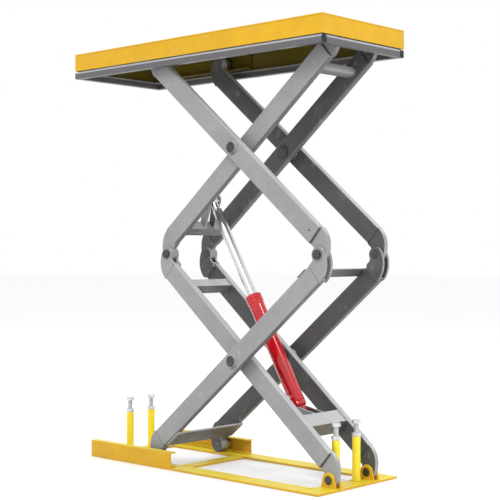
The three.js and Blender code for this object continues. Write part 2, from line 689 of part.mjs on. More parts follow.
// A place given along and across the line of an arm's end pins, from the pin at its low end.
function fromLowPin(along, across) {
  const c = Math.cos(CRANK);
  const s = Math.sin(CRANK);
  return [-REACH + along * c - across * s, -PIN_OFFSET + along * s + across * c];
}

const basePin = fromLowPin(BASE_PIN_ALONG, BASE_PIN_ACROSS);
const rodPin = fromLowPin(ROD_PIN_ALONG, ROD_PIN_ACROSS);
const BASE_PIN = lowerInner.place(basePin);
const ROD_PIN = upperInner.place(rodPin);

const earHead = CYLINDER_EYE_RADIUS - CYLINDER_EAR_STEP;
const earInside = CYLINDER_EYE_WIDTH / 2 + CYLINDER_EYE_PLAY;
const earOutside = earInside + CYLINDER_EAR;
const EAR_SINK = 2; // how far the ears' feet go into their beam

// Two cylinder ears: each runs from a beam to a round head about the cylinder's pin.
function cylinderEars(frame, pin, [u0, u1], [v0, v1]) {
  const foot = [(u0 + u1) / 2, (v0 + v1) / 2];
  const angle = THREE.MathUtils.radToDeg(Math.atan2(pin[1] - foot[1], pin[0] - foot[0]));
  const head = arc(earHead, angle - 90, angle + 90, ARC_STEPS, pin);
  const corners = [[u1 - EAR_SINK, v1 - EAR_SINK], [u1 - EAR_SINK, v0 + EAR_SINK]];
  const outline = [...head, ...corners].map(frame.place);
  const spans = [[-earOutside, -earInside], [earInside, earOutside]];
  return spans.map((span) => plate(outline, span));
}

// Lower inner arms: the beam that carries the cylinder, and a light beam near the middle joints.
const beamU = [-REACH + CYLINDER_BEAM_FROM, -REACH + CYLINDER_BEAM_FROM + CYLINDER_BEAM_WIDTH];
const beamV = [CYLINDER_BEAM_TOP - CYLINDER_BEAM_DEPTH, CYLINDER_BEAM_TOP];
const beamHollow = crossBar(
  lowerInner,
  [beamU[0] + BOX_BEAM_WALL, beamU[1] - BOX_BEAM_WALL],
  [beamV[0] + BOX_BEAM_WALL, beamV[1] - BOX_BEAM_WALL],
  innerHalf + 1,
);
add(
  "cylinder_beam",
  union(
    cut(crossBar(lowerInner, beamU, beamV, innerHalf), beamHollow),
    ...cylinderEars(lowerInner, basePin, beamU, beamV).map((side) =>
      cut(side, rod(CYLINDER_PIN_RADIUS + RUNNING, [-innerHalf, innerHalf], BASE_PIN)),
    ),
  ),
  grey,
);
const lowerBeam = [REACH - LOWER_BEAM_ALONG, LOWER_BEAM_ACROSS];
add("lower_cross_beam", boxBeam(lowerInner, lowerBeam, innerHalf), grey);
const pinHalf = earOutside + CYLINDER_PIN_PROUD;
add("cylinder_base_pin", rod(CYLINDER_PIN_RADIUS, [-pinHalf, pinHalf], BASE_PIN), darkSteel);

// Upper inner arms: the beam that the piston rod pushes, and a round tube near the platform.
const rodBeam = [-REACH + ROD_BEAM_ALONG, ROD_BEAM_ACROSS];
const rodBeamU = [rodBeam[0] - BOX_BEAM / 2, rodBeam[0] + BOX_BEAM / 2];
const rodBeamV = [rodBeam[1] - BOX_BEAM / 2, rodBeam[1] + BOX_BEAM / 2];
add(
  "rod_beam",
  union(
    boxBeam(upperInner, rodBeam, innerHalf),
    ...cylinderEars(upperInner, rodPin, rodBeamU, rodBeamV),
    rod(CYLINDER_PIN_RADIUS, [earOutside - 1, pinHalf], ROD_PIN),
    rod(CYLINDER_PIN_RADIUS, [-pinHalf, -earOutside + 1], ROD_PIN),
  ),
  grey,
);
const tubeAt = upperInner.place([REACH - CROSS_TUBE_ALONG, 0]);
add(
  "upper_cross_tube",
  cut(
    rod(CROSS_TUBE_RADIUS, [-innerHalf, innerHalf], tubeAt),
    rod(CROSS_TUBE_RADIUS - CROSS_TUBE_WALL, [-innerHalf - 1, innerHalf + 1], tubeAt),
  ),
  grey,
);

// Lower outer arms: a tie plate under them near the rollers, a flat bar on them near the joints.
const armEdge = ARM_HEIGHT / 2 + GAP;
const tieU = [-REACH + TIE_PLATE_FROM, -REACH + TIE_PLATE_FROM + TIE_PLATE_WIDTH];
add("tie_plate", crossBar(lowerOuter, tieU, [-armEdge - TIE_PLATE_THICKNESS, -armEdge], outerHalf), grey);
const barU = REACH - CROSS_BAR_ALONG;
add(
  "outer_cross_bar",
  crossBar(
    lowerOuter,
    [barU - CROSS_BAR_WIDTH / 2, barU + CROSS_BAR_WIDTH / 2],
    [armEdge, armEdge + CROSS_BAR_THICKNESS],
    outerHalf,
  ),
  grey,
);

// ---------------------------------------------------------------- cylinder

const stroke = new THREE.Vector2(ROD_PIN[0] - BASE_PIN[0], ROD_PIN[1] - BASE_PIN[1]);
const pinToPin = stroke.length();
const direction = stroke.normalize();

// Turned about the cylinder's own axis: [radius, distance from the base pin] pairs, closed or on the axis.
function onAxis(profile) {
  const points = profile.map(([radius, along]) => new THREE.Vector2(radius, along));
  const geometry = new THREE.LatheGeometry(points, 2 * FINE_STEPS);
  geometry.applyMatrix4(
    new THREE.Matrix4()
      .makeBasis(
        new THREE.Vector3(direction.y, 0, -direction.x),
        new THREE.Vector3(direction.x, 0, direction.y),
        new THREE.Vector3(0, -1, 0),
      )
      .setPosition(BASE_PIN[0], 0, BASE_PIN[1]),
  );
  return solid(geometry);
}

const eyeHalf = CYLINDER_EYE_WIDTH / 2;
const eyeSpan = [-eyeHalf, eyeHalf];
// Pin to pin with every tube level: the middle joint sits straight above the rollers.
const closedAlong = basePin[0] + rodPin[0];
const closedAcross = rodPin[1] - basePin[1] + 2 * PIN_OFFSET;
const closedLength = Math.hypot(closedAlong, closedAcross);
const barrelLength = closedLength - CLOSED_ROD_SHOWING;
const glandStart = barrelLength - GLAND_LENGTH;
const glandRadius = BARREL_RADIUS + GLAND_PROUD;
const barrelBore = BARREL_RADIUS - BARREL_WALL;
const rodBore = ROD_RADIUS + RUNNING;
const capStart = earHead + GAP;
const boreStart = capStart + END_CAP_THICKNESS;

const onAxisRod = (radius, from, to) => onAxis([[0, from], [radius, from], [radius, to], [0, to]]);

const barrelOutside = onAxis([
  [0, capStart],
  [BARREL_RADIUS - BARREL_CHAMFER, capStart],
  [BARREL_RADIUS, capStart + BARREL_CHAMFER],
  [BARREL_RADIUS, glandStart],
  [glandRadius, glandStart + 2],
  [glandRadius, barrelLength - 2],
  [glandRadius - 2, barrelLength],
  [0, barrelLength],
]);
add(
  "cylinder_barrel",
  cut(
    union(barrelOutside, rod(CYLINDER_EYE_RADIUS, eyeSpan, BASE_PIN)),
    onAxisRod(barrelBore, boreStart, glandStart),
    onAxisRod(rodBore, glandStart - 1, barrelLength + 1),
    rod(CYLINDER_PIN_RADIUS + RUNNING, [-CYLINDER_EYE_WIDTH, CYLINDER_EYE_WIDTH], BASE_PIN),
  ),
  red,
);

const rodStart = pinToPin - closedLength + boreStart + PISTON_END_PLAY;
const neckStart = pinToPin - ROD_EYE_NECK;
const stubHalf = eyeHalf + CYLINDER_EYE_PLAY - 1;
add(
  "piston_rod",
  union(
    onAxisRod(barrelBore - RUNNING, rodStart, rodStart + PISTON_LENGTH),
    onAxisRod(ROD_RADIUS, rodStart + PISTON_LENGTH - 1, neckStart),
    onAxisRod(eyeHalf, neckStart - 1, pinToPin),
    rod(CYLINDER_EYE_RADIUS, eyeSpan, ROD_PIN),
    rod(CYLINDER_PIN_RADIUS, [-stubHalf, stubHalf], ROD_PIN),
  ),
  chrome,
);

export default group;
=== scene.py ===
"""Looks for the double vertical scissor lift table: fine arms, pins, stop bolts, rollers and cylinder,
weld beads, painted and plated materials, and a soft studio. Metres, in the CAD frame."""

import json
from math import asin, atan2, cos, pi, radians, sin

import bmesh
import bpy
from mathutils import Matrix, Vector, noise


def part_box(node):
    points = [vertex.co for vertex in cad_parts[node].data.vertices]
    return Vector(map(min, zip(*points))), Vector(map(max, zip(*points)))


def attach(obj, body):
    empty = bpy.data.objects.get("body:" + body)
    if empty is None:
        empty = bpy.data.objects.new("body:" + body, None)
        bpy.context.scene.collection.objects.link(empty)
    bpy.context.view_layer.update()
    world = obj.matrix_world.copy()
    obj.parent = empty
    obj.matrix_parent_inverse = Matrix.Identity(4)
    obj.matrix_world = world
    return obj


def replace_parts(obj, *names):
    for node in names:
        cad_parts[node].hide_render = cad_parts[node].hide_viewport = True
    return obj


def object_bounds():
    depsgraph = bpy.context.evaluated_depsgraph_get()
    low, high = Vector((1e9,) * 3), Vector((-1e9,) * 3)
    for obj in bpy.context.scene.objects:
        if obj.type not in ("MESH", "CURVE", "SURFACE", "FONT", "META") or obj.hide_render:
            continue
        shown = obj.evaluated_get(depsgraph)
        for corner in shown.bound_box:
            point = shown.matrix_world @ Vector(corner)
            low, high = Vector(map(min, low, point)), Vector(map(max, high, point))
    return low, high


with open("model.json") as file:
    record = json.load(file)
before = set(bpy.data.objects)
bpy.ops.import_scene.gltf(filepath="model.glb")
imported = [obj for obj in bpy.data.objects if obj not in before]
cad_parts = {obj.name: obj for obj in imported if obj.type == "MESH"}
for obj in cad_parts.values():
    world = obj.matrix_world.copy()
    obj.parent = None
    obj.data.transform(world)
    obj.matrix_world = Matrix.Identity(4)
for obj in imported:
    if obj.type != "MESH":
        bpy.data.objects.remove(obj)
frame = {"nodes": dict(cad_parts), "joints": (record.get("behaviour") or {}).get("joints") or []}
cad_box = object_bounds()
scene = bpy.context.scene
nodes = frame["nodes"]
joints = {joint["name"]: joint for joint in frame["joints"]}

SIDES = (("near", -1), ("far", 1))

# ---------------------------------------------------------------- sizes the CAD solids don't name

PIN_OFFSET = 0.042
ARM_HEIGHT = 0.078
ARM_WIDTH = 0.030
ARM_CORNER = 0.008
OUTER_FACE = 0.1885
INNER_FACE = 0.1315
TUBE_END = 0.058
KNUCKLE_RADIUS = 0.028
FORK_PLATE = 0.010
LUG_THICKNESS = 0.020
FORK_DEPTH = 0.041
HUB_RADIUS = 0.025
HUB_PROUD = 0.009
HUB_GAP = 0.0006
CENTRE_PIN_RADIUS = 0.020
END_PIN_RADIUS = 0.016
AXLE_RADIUS = 0.010
DRAIN_FROM_END = 0.028
DRAIN_RADIUS = 0.004
CYLINDER_PIN_RADIUS = 0.0125
BORE_PLAY = 0.0003

HUB_BEAD = 0.0024
LUG_BEAD = 0.0034
SEAM_BEAD = 0.0009
POST_BEAD = 0.0028
EYE_BEAD = 0.0024
FOOT_BEAD = 0.0018
TUBE_BEAD = 0.0026
STITCH_BEAD = 0.0020
BAR_BEAD = 0.0022
EAR_BEAD = 0.0026
BEAM_BEAD = 0.0024

# ---------------------------------------------------------------- materials

# Most of a noise texture's values lie between these two.
NOISE_LOW = 0.3
NOISE_HIGH = 0.7


class Shader:
    """A node material with short calls for the nodes used here."""

    def __init__(self, name, color, roughness, metallic=0.0):
        self.material = bpy.data.materials.new(name)
        self.material.use_nodes = True
        self.tree = self.material.node_tree
        self.bsdf = self.tree.nodes["Principled BSDF"]
        self.bsdf.inputs["Metallic"].default_value = metallic
        self.bsdf.inputs["Roughness"].default_value = roughness
        self.color = self.rgb(color)
        self.coords = self.node("ShaderNodeTexCoord").outputs["Object"]
        self.height = None

    def node(self, kind, **settings):
        made = self.tree.nodes.new(kind)
        for name, value in settings.items():
            setattr(made, name, value)
        return made

    def link(self, source, target):
        self.tree.links.new(source, target)

    def rgb(self, color):
        made = self.node("ShaderNodeRGB")
        made.outputs[0].default_value = (*color, 1)
        return made.outputs[0]

    def noise(self, scale, detail=4, stretch=(1, 1, 1), roughness=0.55):
        mapping = self.node("ShaderNodeMapping")
        mapping.inputs["Scale"].default_value = stretch
        self.link(self.coords, mapping.inputs["Vector"])
        made = self.node("ShaderNodeTexNoise")
        made.inputs["Scale"].default_value = scale
        made.inputs["Detail"].default_value = detail
        made.inputs["Roughness"].default_value = roughness
        self.link(mapping.outputs[0], made.inputs["Vector"])
        return made.outputs["Fac"]

    def ramp(self, value, low, high, to_low=0.0, to_high=1.0):
        made = self.node("ShaderNodeMapRange", clamp=True)
        made.interpolation_type = "SMOOTHSTEP"
        self.link(value, made.inputs["Value"])
        made.inputs["From Min"].default_value = low
        made.inputs["From Max"].default_value = high
        made.inputs["To Min"].default_value = to_low
        made.inputs["To Max"].default_value = to_high
        return made.outputs["Result"]

    def math(self, operation, first, second=0):
        made = self.node("ShaderNodeMath", operation=operation)
        for socket, value in zip(made.inputs, (first, second)):
            if isinstance(value, (int, float)):
                socket.default_value = value
            else:
                self.link(value, socket)
        return made.outputs[0]

    def mix(self, factor, color, blend="MIX"):
        """The colour so far goes towards color by factor."""
        made = self.node("ShaderNodeMix", data_type="RGBA", blend_type=blend)
        if isinstance(factor, (int, float)):
            made.inputs[0].default_value = factor
        else:
            self.link(factor, made.inputs[0])
        self.link(self.color, made.inputs[6])
        if isinstance(color, tuple):
            made.inputs[7].default_value = (*color, 1)
        else:
            self.link(color, made.inputs[7])
        self.color = made.outputs[2]

    def shade(self, value, low, high):
        """The colour is multiplied by a grey that goes from low to high as a noise value rises."""
        grey = self.ramp(value, NOISE_LOW, NOISE_HIGH, low, high)
        combine = self.node("ShaderNodeCombineColor")
        for socket in combine.inputs:
            self.link(grey, socket)
        self.mix(1.0, combine.outputs[0], "MULTIPLY")

    def bump(self, value, distance):
        scaled = self.math("MULTIPLY", value, distance)
        self.height = scaled if self.height is None else self.math("ADD", self.height, scaled)

    def edges(self, radius):
        """1 on edges and within radius of them, 0 on flat faces."""
        bevel = self.node("ShaderNodeBevel", samples=4)
        bevel.inputs["Radius"].default_value = radius
        plain = self.node("ShaderNodeNewGeometry").outputs["Normal"]
        dot = self.node("ShaderNodeVectorMath", operation="DOT_PRODUCT")
        self.link(bevel.outputs[0], dot.inputs[0])
        self.link(plain, dot.inputs[1])
        flat, full_edge = 0.96, 0.75
        return self.ramp(dot.outputs["Value"], flat, full_edge)

    def done(self, roughness=None):
        self.link(self.color, self.bsdf.inputs["Base Color"])
        if roughness is not None:
            self.link(roughness, self.bsdf.inputs["Roughness"])
        if self.height is not None:
            bump = self.node("ShaderNodeBump")
            bump.inputs["Strength"].default_value = 1.0
            bump.inputs["Distance"].default_value = 1.0
            self.link(self.height, bump.inputs["Height"])
            self.link(bump.outputs[0], self.bsdf.inputs["Normal"])
        return self.material


# Painted shade: the mask below darkens faces that look inwards, as if shade fell there.
def inward_shade_faces(shader, underneath):
    """1 on faces that look towards the middle plane, or for underneath also inwards along X and down."""
    geometry = shader.node("ShaderNodeNewGeometry")
    normal = shader.node("ShaderNodeSeparateXYZ")
    place = shader.node("ShaderNodeSeparateXYZ")
    shader.link(geometry.outputs["Normal"], normal.inputs[0])
    shader.link(geometry.outputs["Position"], place.inputs[0])
    facing = shader.math("MULTIPLY", normal.outputs[1], shader.math("SIGN", place.outputs[1]))
    if underneath:
        along = shader.math("MULTIPLY", normal.outputs[0], shader.math("SIGN", place.outputs[0]))
        facing = shader.math("MINIMUM", shader.math("MINIMUM", facing, along), normal.outputs[2])
    return shader.ramp(facing, -0.35, -0.95)


# A mask for painted light and painted shade, from how far a face looks up or down.
def upward(shader, low, high):
    """1 on faces whose normal's height is past high, 0 before low."""
    normal = shader.node("ShaderNodeSeparateXYZ")
    shader.link(shader.node("ShaderNodeNewGeometry").outputs["Normal"], normal.inputs[0])
    return shader.ramp(normal.outputs[2], low, high)


DUST = (0.42, 0.40, 0.36)
# How far the painted light on upper faces and the painted shade on lower faces cover the paint's colour.
FACE_COVER = 0.85


def paint(
    name, color, worn_and_highlight, roughness, wear_and_highlight=0.5, inside=None, coat=0.0, underneath=False, top=None, under=None
):
    """Sprayed machine paint: orange peel, faint blotches, rubbed edges that are lighter partly as a painted
    highlight, hairline scratches and a little dust. inside is the colour of painted shade on faces that
    look inwards, top that of painted light on the upper faces, and under that of painted shade on the lower
    ones."""
    shader = Shader(name, color, roughness)
    shader.bsdf.inputs["Specular IOR Level"].default_value = 0.3
    shader.bsdf.inputs["Coat Weight"].default_value = coat
    shader.bsdf.inputs["Coat Roughness"].default_value = 0.08
    # Painted shade: faces that look inwards go towards the darker inside colour.
    if inside is not None:
        shader.mix(inward_shade_faces(shader, underneath), inside)
    # Painted light: upper faces go towards the paler top colour.
    if top is not None:
        shader.mix(shader.math("MULTIPLY", upward(shader, 0.25, 0.75), FACE_COVER), top)
    # Painted shade: lower faces go towards the darker under colour.
    if under is not None:
        shader.mix(shader.math("MULTIPLY", upward(shader, -0.25, -0.75), FACE_COVER), under)
    shader.shade(shader.noise(5, 3), 0.93, 1.05)
    shader.shade(shader.noise(60, 4), 0.97, 1.03)
    # Rubbed edges: real wear, and their lighter colour is also a painted highlight along the edges.
    patchy = shader.ramp(shader.noise(45, 5), 0.42, 0.62)
    rubbed_and_highlit = shader.math("MULTIPLY", shader.edges(radius=0.0022), patchy)
    shader.mix(shader.math("MULTIPLY", rubbed_and_highlit, wear_and_highlight), worn_and_highlight)
    scratch = shader.ramp(shader.noise(38, 2, (1, 0.06, 0.5), 0.4), 0.69, 0.715)
    shader.mix(shader.math("MULTIPLY", scratch, 0.25 * wear_and_highlight), worn_and_highlight)
    dust = shader.ramp(shader.noise(11, 6), 0.55, 0.78)
    shader.mix(shader.math("MULTIPLY", dust, 0.10), DUST)
    shader.bump(shader.noise(420, 2), distance=0.00006)
    shader.bump(shader.noise(30, 3), distance=0.0002)
    shader.bump(rubbed_and_highlit, distance=-0.00008)
    uneven = shader.ramp(shader.noise(24, 5), NOISE_LOW, NOISE_HIGH, roughness - 0.06, roughness + 0.1)
    return shader.done(shader.math("ADD", uneven, shader.math("MULTIPLY", dust, 0.15)))


def plated(name, color, roughness, stain=(0.30, 0.28, 0.25), amount=0.2):
    """Bare or plated metal: fine tool marks, patches of dulled plate and dirt."""
    shader = Shader(name, color, roughness, 1.0)
    shader.shade(shader.noise(90, 4), 0.90, 1.05)
    patch = shader.ramp(shader.noise(160, 5), 0.5, 0.72)
    shader.mix(shader.math("MULTIPLY", patch, amount), stain)
    lines = shader.noise(260, 2)
    shader.bump(lines, distance=0.00004)
    uneven = shader.ramp(lines, NOISE_LOW, NOISE_HIGH, roughness - 0.05, roughness + 0.08)
    return shader.done(shader.math("ADD", uneven, shader.math("MULTIPLY", patch, 0.12)))


def trip_profile(name, mitred):
    """A brushed aluminium profile: a light strip along its top that is a painted highlight, over a dull
    anodised body with painted shade on its lower faces. A mitred one has dark joints at its ends."""
    shader = Shader(name, (0.150, 0.145, 0.155), 0.38, 0.7)
    place = shader.node("ShaderNodeSeparateXYZ")
    shader.link(shader.node("ShaderNodeTexCoord").outputs["Generated"], place.inputs[0])
    highlight_strip, joint, painted_underside_shade = (0.46, 0.46, 0.48), (0.03, 0.03, 0.03), (0.08, 0.078, 0.085)
    # Painted highlight: a light strip along the top of the profile.
    shader.mix(shader.ramp(place.outputs[2], 0.66, 0.69), highlight_strip)
    if mitred:
        from_middle = shader.math("ABSOLUTE", shader.math("SUBTRACT", place.outputs[0], 0.5))
        shader.mix(shader.ramp(from_middle, 0.4972, 0.4978), joint)
    # Painted shade: the lower faces go darker.
    shader.mix(shader.math("MULTIPLY", upward(shader, -0.4, -0.8), 0.6), painted_underside_shade)
    brushed = shader.noise(260, 2, (0.03, 0.03, 1))
    shader.shade(shader.noise(70, 4), 0.92, 1.04)
    patch = shader.ramp(shader.noise(120, 5), 0.5, 0.74)
    shader.mix(shader.math("MULTIPLY", patch, 0.15), (0.22, 0.22, 0.23))
    shader.bump(brushed, distance=0.00004)
    return shader.done(shader.ramp(brushed, NOISE_LOW, NOISE_HIGH, 0.32, 0.48))


def oiled_chrome(name):
    """Ground hard chrome with a thin oil film that dulls it in long streaks."""
    shader = Shader(name, (0.80, 0.80, 0.81), 0.26, 1.0)
    shader.shade(shader.noise(14, 3, (1, 1, 0.2)), 0.93, 1.02)
    streak = shader.ramp(shader.noise(55, 5, (1, 1, 0.05)), 0.5, 0.75)
    rings = shader.noise(30, 2, (0.1, 0.1, 60))
    shader.bump(rings, distance=0.000004)
    return shader.done(shader.ramp(streak, 0, 1, 0.24, 0.34))


def rubber(name):
    """Black rubber with a fine grain."""
    shader = Shader(name, (0.022, 0.022, 0.024), 0.6)
    shader.shade(shader.noise(70, 4), 0.8, 1.25)
    shader.bump(shader.noise(500, 2), distance=0.00005)
    return shader.done(shader.ramp(shader.noise(50, 4), NOISE_LOW, NOISE_HIGH, 0.5, 0.7))


# The base: painted light on its upper faces and painted shade on its lower ones.
base_paint = paint(
    "yellow_base_paint", (0.62, 0.35, 0.008), (0.50, 0.42, 0.22), 0.42, 0.5,
    top=(0.84, 0.70, 0.045), under=(0.22, 0.15, 0.006),
)
# Painted light: the stop posts take a paler, lit copy of the base's yellow.
lit_post_paint = paint("painted_light_lemon_post_paint", (0.86, 0.68, 0.035), (0.50, 0.42, 0.22), 0.40, 0.4)
# The platform: painted shade on its inner faces and underside, painted light on its upper faces.
platform_paint = paint(
    "amber_platform_paint", (0.62, 0.345, 0.007), (0.52, 0.36, 0.14), 0.44, 0.45,
    inside=(0.10, 0.075, 0.003), underneath=True, top=(0.78, 0.50, 0.03),
)
# The arms: painted shade on inward and lower faces, painted light on upper faces.
arm_paint = paint(
    "grey_arm_paint", (0.275, 0.275, 0.285), (0.55, 0.55, 0.57), 0.36, 0.5,
    inside=(0.075, 0.075, 0.079), top=(0.50, 0.50, 0.51), under=(0.075, 0.072, 0.075),
)
# Painted shade: the weld seams at the arms' tube ends are near-black to stand for the shade of the step
# there.
seam_shade_paint = paint("painted_shade_seam_paint", (0.055, 0.055, 0.058), (0.20, 0.20, 0.21), 0.45, 0.3)
# The frame paint: painted shade on its lower faces.
frame_paint = paint(
    "grey_frame_paint", (0.12, 0.12, 0.125), (0.35, 0.35, 0.36), 0.38, 0.5, under=(0.05, 0.05, 0.052)
)
red_paint = paint("red_cylinder_paint", (0.50, 0.003, 0.008), (0.36, 0.08, 0.08), 0.16, 0.35, coat=0.9)
pin_steel = plated("dark_pin_steel", (0.085, 0.085, 0.09), 0.36)
clip_steel = plated("spring_clip_steel", (0.16, 0.16, 0.17), 0.3)
zinc = plated("bright_zinc", (0.66, 0.67, 0.69), 0.38, (0.45, 0.43, 0.40), 0.25)
chrome = oiled_chrome("hard_chrome")
long_aluminium = trip_profile("brushed_aluminium_long", mitred=True)
end_aluminium = trip_profile("brushed_aluminium_end", mitred=False)
seal_rubber = rubber("black_seal_rubber")

# ---------------------------------------------------------------- mesh helpers


def finished(bm, name, material, body, sharp=32):
    """A mesh object from bm with smooth faces and sharp edges, riding on its body."""
    bmesh.ops.recalc_face_normals(bm, faces=bm.faces)
    mesh = bpy.data.meshes.new(name)
    bm.to_mesh(mesh)
    bm.free()
    mesh.shade_smooth()
    mesh.set_sharp_from_angle(angle=radians(sharp))
    piece = bpy.data.objects.new(name, mesh)
    scene.collection.objects.link(piece)
    mesh.materials.append(material)
    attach(piece, body)
    return piece


def placed(piece, matrix):
    """Puts a piece whose mesh is in its own frame where it belongs."""
    piece.matrix_world = matrix
    bpy.context.view_layer.update()
    return piece


def lathe(bm, profile, segments=64, axis=Matrix()):
    """Adds a turned shape about Z, then moved by axis: (radius, height) pairs that start and end on the
    axis, or that make a closed loop clear of it."""
    angles = [2 * pi * i / segments for i in range(segments)]
    rings = []
    for radius, height in profile:
        turns = angles if radius else angles[:1]
        points = [(radius * cos(a), radius * sin(a), height) for a in turns]
        rings.append([bm.verts.new(axis @ Vector(point)) for point in points])
    for low, high in zip(rings, rings[1:]):
        for i in range(segments):
            j = (i + 1) % segments
            corners = [low[i % len(low)], low[j % len(low)], high[j % len(high)], high[i % len(high)]]
            unique = list(dict.fromkeys(corners))
            if len(unique) > 2:
                bm.faces.new(unique)


def chamfered(radius, low, high, edge=0.0015):
    """A turned bar's profile with its two rims cut at 45 degrees."""
    return [
        (0, low),
        (radius - edge, low),
        (radius, low + edge),
        (radius, high - edge),
        (radius - edge, high),
        (0, high),
    ]


def washer_profile(bore, radius, low, high):
    """A flat ring's profile, as a closed loop."""
    return [(bore, low), (radius, low), (radius, high), (bore, high), (bore, low)]


def slab(bm, outline, low, high, edge=0.001, steps=2):
    """Adds a flat plate: an outline of (x, z) points drawn out along Y, with rounded rims."""
    bottom = [bm.verts.new((x, low, z)) for x, z in outline]
    top = [bm.verts.new((x, high, z)) for x, z in outline]
    faces = [bm.faces.new(bottom), bm.faces.new(list(reversed(top)))]
    for i in range(len(outline)):
        j = (i + 1) % len(outline)
        bm.faces.new((bottom[i], bottom[j], top[j], top[i]))
    rims = {e for face in faces for e in face.edges}
    bmesh.ops.bevel(bm, geom=list(rims), offset=edge, segments=steps, affect="EDGES", clamp_overlap=True)


def along_y(x, z):
    """Takes a turned shape's Z axis to +Y, through (x, z)."""
    return Matrix.Translation((x, 0, z)) @ Matrix.Rotation(-pi / 2, 4, "X")


def arc(radius, start, end, steps, centre=(0, 0)):
    """Points on a circle from start to end, in degrees."""
    angles = [radians(start + (end - start) * i / steps) for i in range(steps + 1)]
    return [(centre[0] + radius * cos(a), centre[1] + radius * sin(a)) for a in angles]


def bezier(start, first, second, end, steps):
    """Points on a cubic curve."""
    points = []
    for i in range(steps + 1):
        t = i / steps
        weights = ((1 - t) ** 3, 3 * t * (1 - t) ** 2, 3 * t * t * (1 - t), t**3)
        handles = list(zip(weights, (start, first, second, end)))
        points.append(tuple(sum(w * p[k] for w, p in handles) for k in (0, 1)))
    return points


def span(side, low, high):
    """A stretch of Y on one side, from distances off the middle plane."""
    return (-high, -low) if side < 0 else (low, high)


def bridge(bm, rings, closed=False):
    """Adds the faces between neighbouring rings of vertices, and an end face on each open end."""
    total = len(rings)
    for i in range(total if closed else total - 1):
        low, high = rings[i], rings[(i + 1) % total]
        for k in range(len(low)):
            m = (k + 1) % len(low)
            bm.faces.new((low[k], low[m], high[m], high[k]))
    if not closed:
        bm.faces.new(rings[0])
        bm.faces.new(list(reversed(rings[-1])))


def middle(low, high):
    """The middle of a box, as (x, z)."""
    return (low.x + high.x) / 2, (low.z + high.z) / 2


BEAD_STEP = 0.0014
BEAD_SIDES = 8
BEAD_ENDS = 0.55
OFF_ALL_BEADS = Vector((0.31, 0.87, 0.38))


def bead(bm, path, radius, closed=False, pitch=0.0042):
    """Adds a weld bead along a path: a round cord with the weld pool's ripples, thinner at its ends."""
    stations = []
    count = len(path) if closed else len(path) - 1
    for i in range(count):
        start, end = Vector(path[i]), Vector(path[(i + 1) % len(path)])
        steps = max(1, round((end - start).length / BEAD_STEP))
        stations += [start.lerp(end, k / steps) for k in range(steps)]
    if not closed:
        stations.append(Vector(path[-1]))
    rings = []
    travelled = 0.0
    total = len(stations)
    for i, here in enumerate(stations):
        before = stations[i - 1] if i or closed else here
        after = stations[(i + 1) % total] if i < total - 1 or closed else here
        forward = (after - before).normalized()
        side = forward.cross(OFF_ALL_BEADS).normalized()
        up = forward.cross(side)
        travelled += (here - before).length if i else 0
        ripple = 0.86 + 0.14 * abs(sin(pi * travelled / pitch)) + 0.1 * noise.noise(here * 90)
        taper = BEAD_ENDS if not closed and i in (0, total - 1) else 1.0
        r = radius * ripple * taper
        turns = [2 * pi * k / BEAD_SIDES for k in range(BEAD_SIDES)]
        rings.append([bm.verts.new(here + side * r * cos(a) + up * r * sin(a)) for a in turns])
    bridge(bm, rings, closed)


def circle_path(x, y, z, radius, normal, steps=40):
    """A ring of points about an axis along Y or Z."""
    points = arc(radius, 0, 360 - 360 / steps, steps - 1)
    if normal == "Y":
        return [(x + a, y, z + b) for a, b in points]
    return [(x + a, y + b, z) for a, b in points]


# ---------------------------------------------------------------- CAD nodes that keep their shape


def dress(name, material, rounding):
    """Gives a CAD node its material and rounds its edges with modifiers."""
    node = nodes[name]
    node.data.materials.clear()
    node.data.materials.append(material)
    for polygon in node.data.polygons:
        polygon.use_smooth = True
    weld = node.modifiers.new("weld", "WELD")
    weld.merge_threshold = 1e-5
    bevel = node.modifiers.new("rounding", "BEVEL")
    bevel.width = rounding
    bevel.segments = 2
    bevel.limit_method = "ANGLE"
    bevel.angle_limit = radians(40)
    split = node.modifiers.new("split", "EDGE_SPLIT")
    split.split_angle = radians(38)
    weighted = node.modifiers.new("flat_faces", "WEIGHTED_NORMAL")
    weighted.weight = 90


KEPT = {
    "base_": (base_paint, 0.0012),
    "platform_deck": (platform_paint, 0.0014),
    "platform_skirt": (platform_paint, 0.0006),
    "platform_roller_rail": (platform_paint, 0.0012),
    "platform_pivot_plate": (frame_paint, 0.0010),
    "trip_bar_near": (long_aluminium, 0.0014),
    "trip_bar_far": (long_aluminium, 0.0014),
    "trip_bar_left": (end_aluminium, 0.0014),
    "trip_bar_right": (end_aluminium, 0.0014),
    "tie_plate": (arm_paint, 0.0012),
    "outer_cross_bar": (arm_paint, 0.0010),
    "cylinder_beam": (arm_paint, 0.0014),
    "rod_beam": (arm_paint, 0.0014),
    "lower_cross_beam": (arm_paint, 0.0020),
}
for node_name in sorted(nodes):
    if node_name.startswith("base_pivot_pin"):
        continue
    for prefix, (material, rounding) in KEPT.items():
        if node_name.startswith(prefix):
            dress(node_name, material, rounding)

# ---------------------------------------------------------------- arms


def pivot(joint):
    """A joint's place, as (x, z)."""
    x, _, z = joints[joint]["pos_m"]
    return Vector((x, z))


BASE_PIVOT = pivot("lift")
LOWER_CENTRE = pivot("lower_scissor")
INNER_JOINT = pivot("middle_joint")
TOP_PIVOT = pivot("platform_pivot")
LOWER_ROLLER = pivot("lower_roll_near")
UPPER_ROLLER = pivot("upper_roll_near")
OUTER_JOINT = 2 * LOWER_CENTRE - LOWER_ROLLER


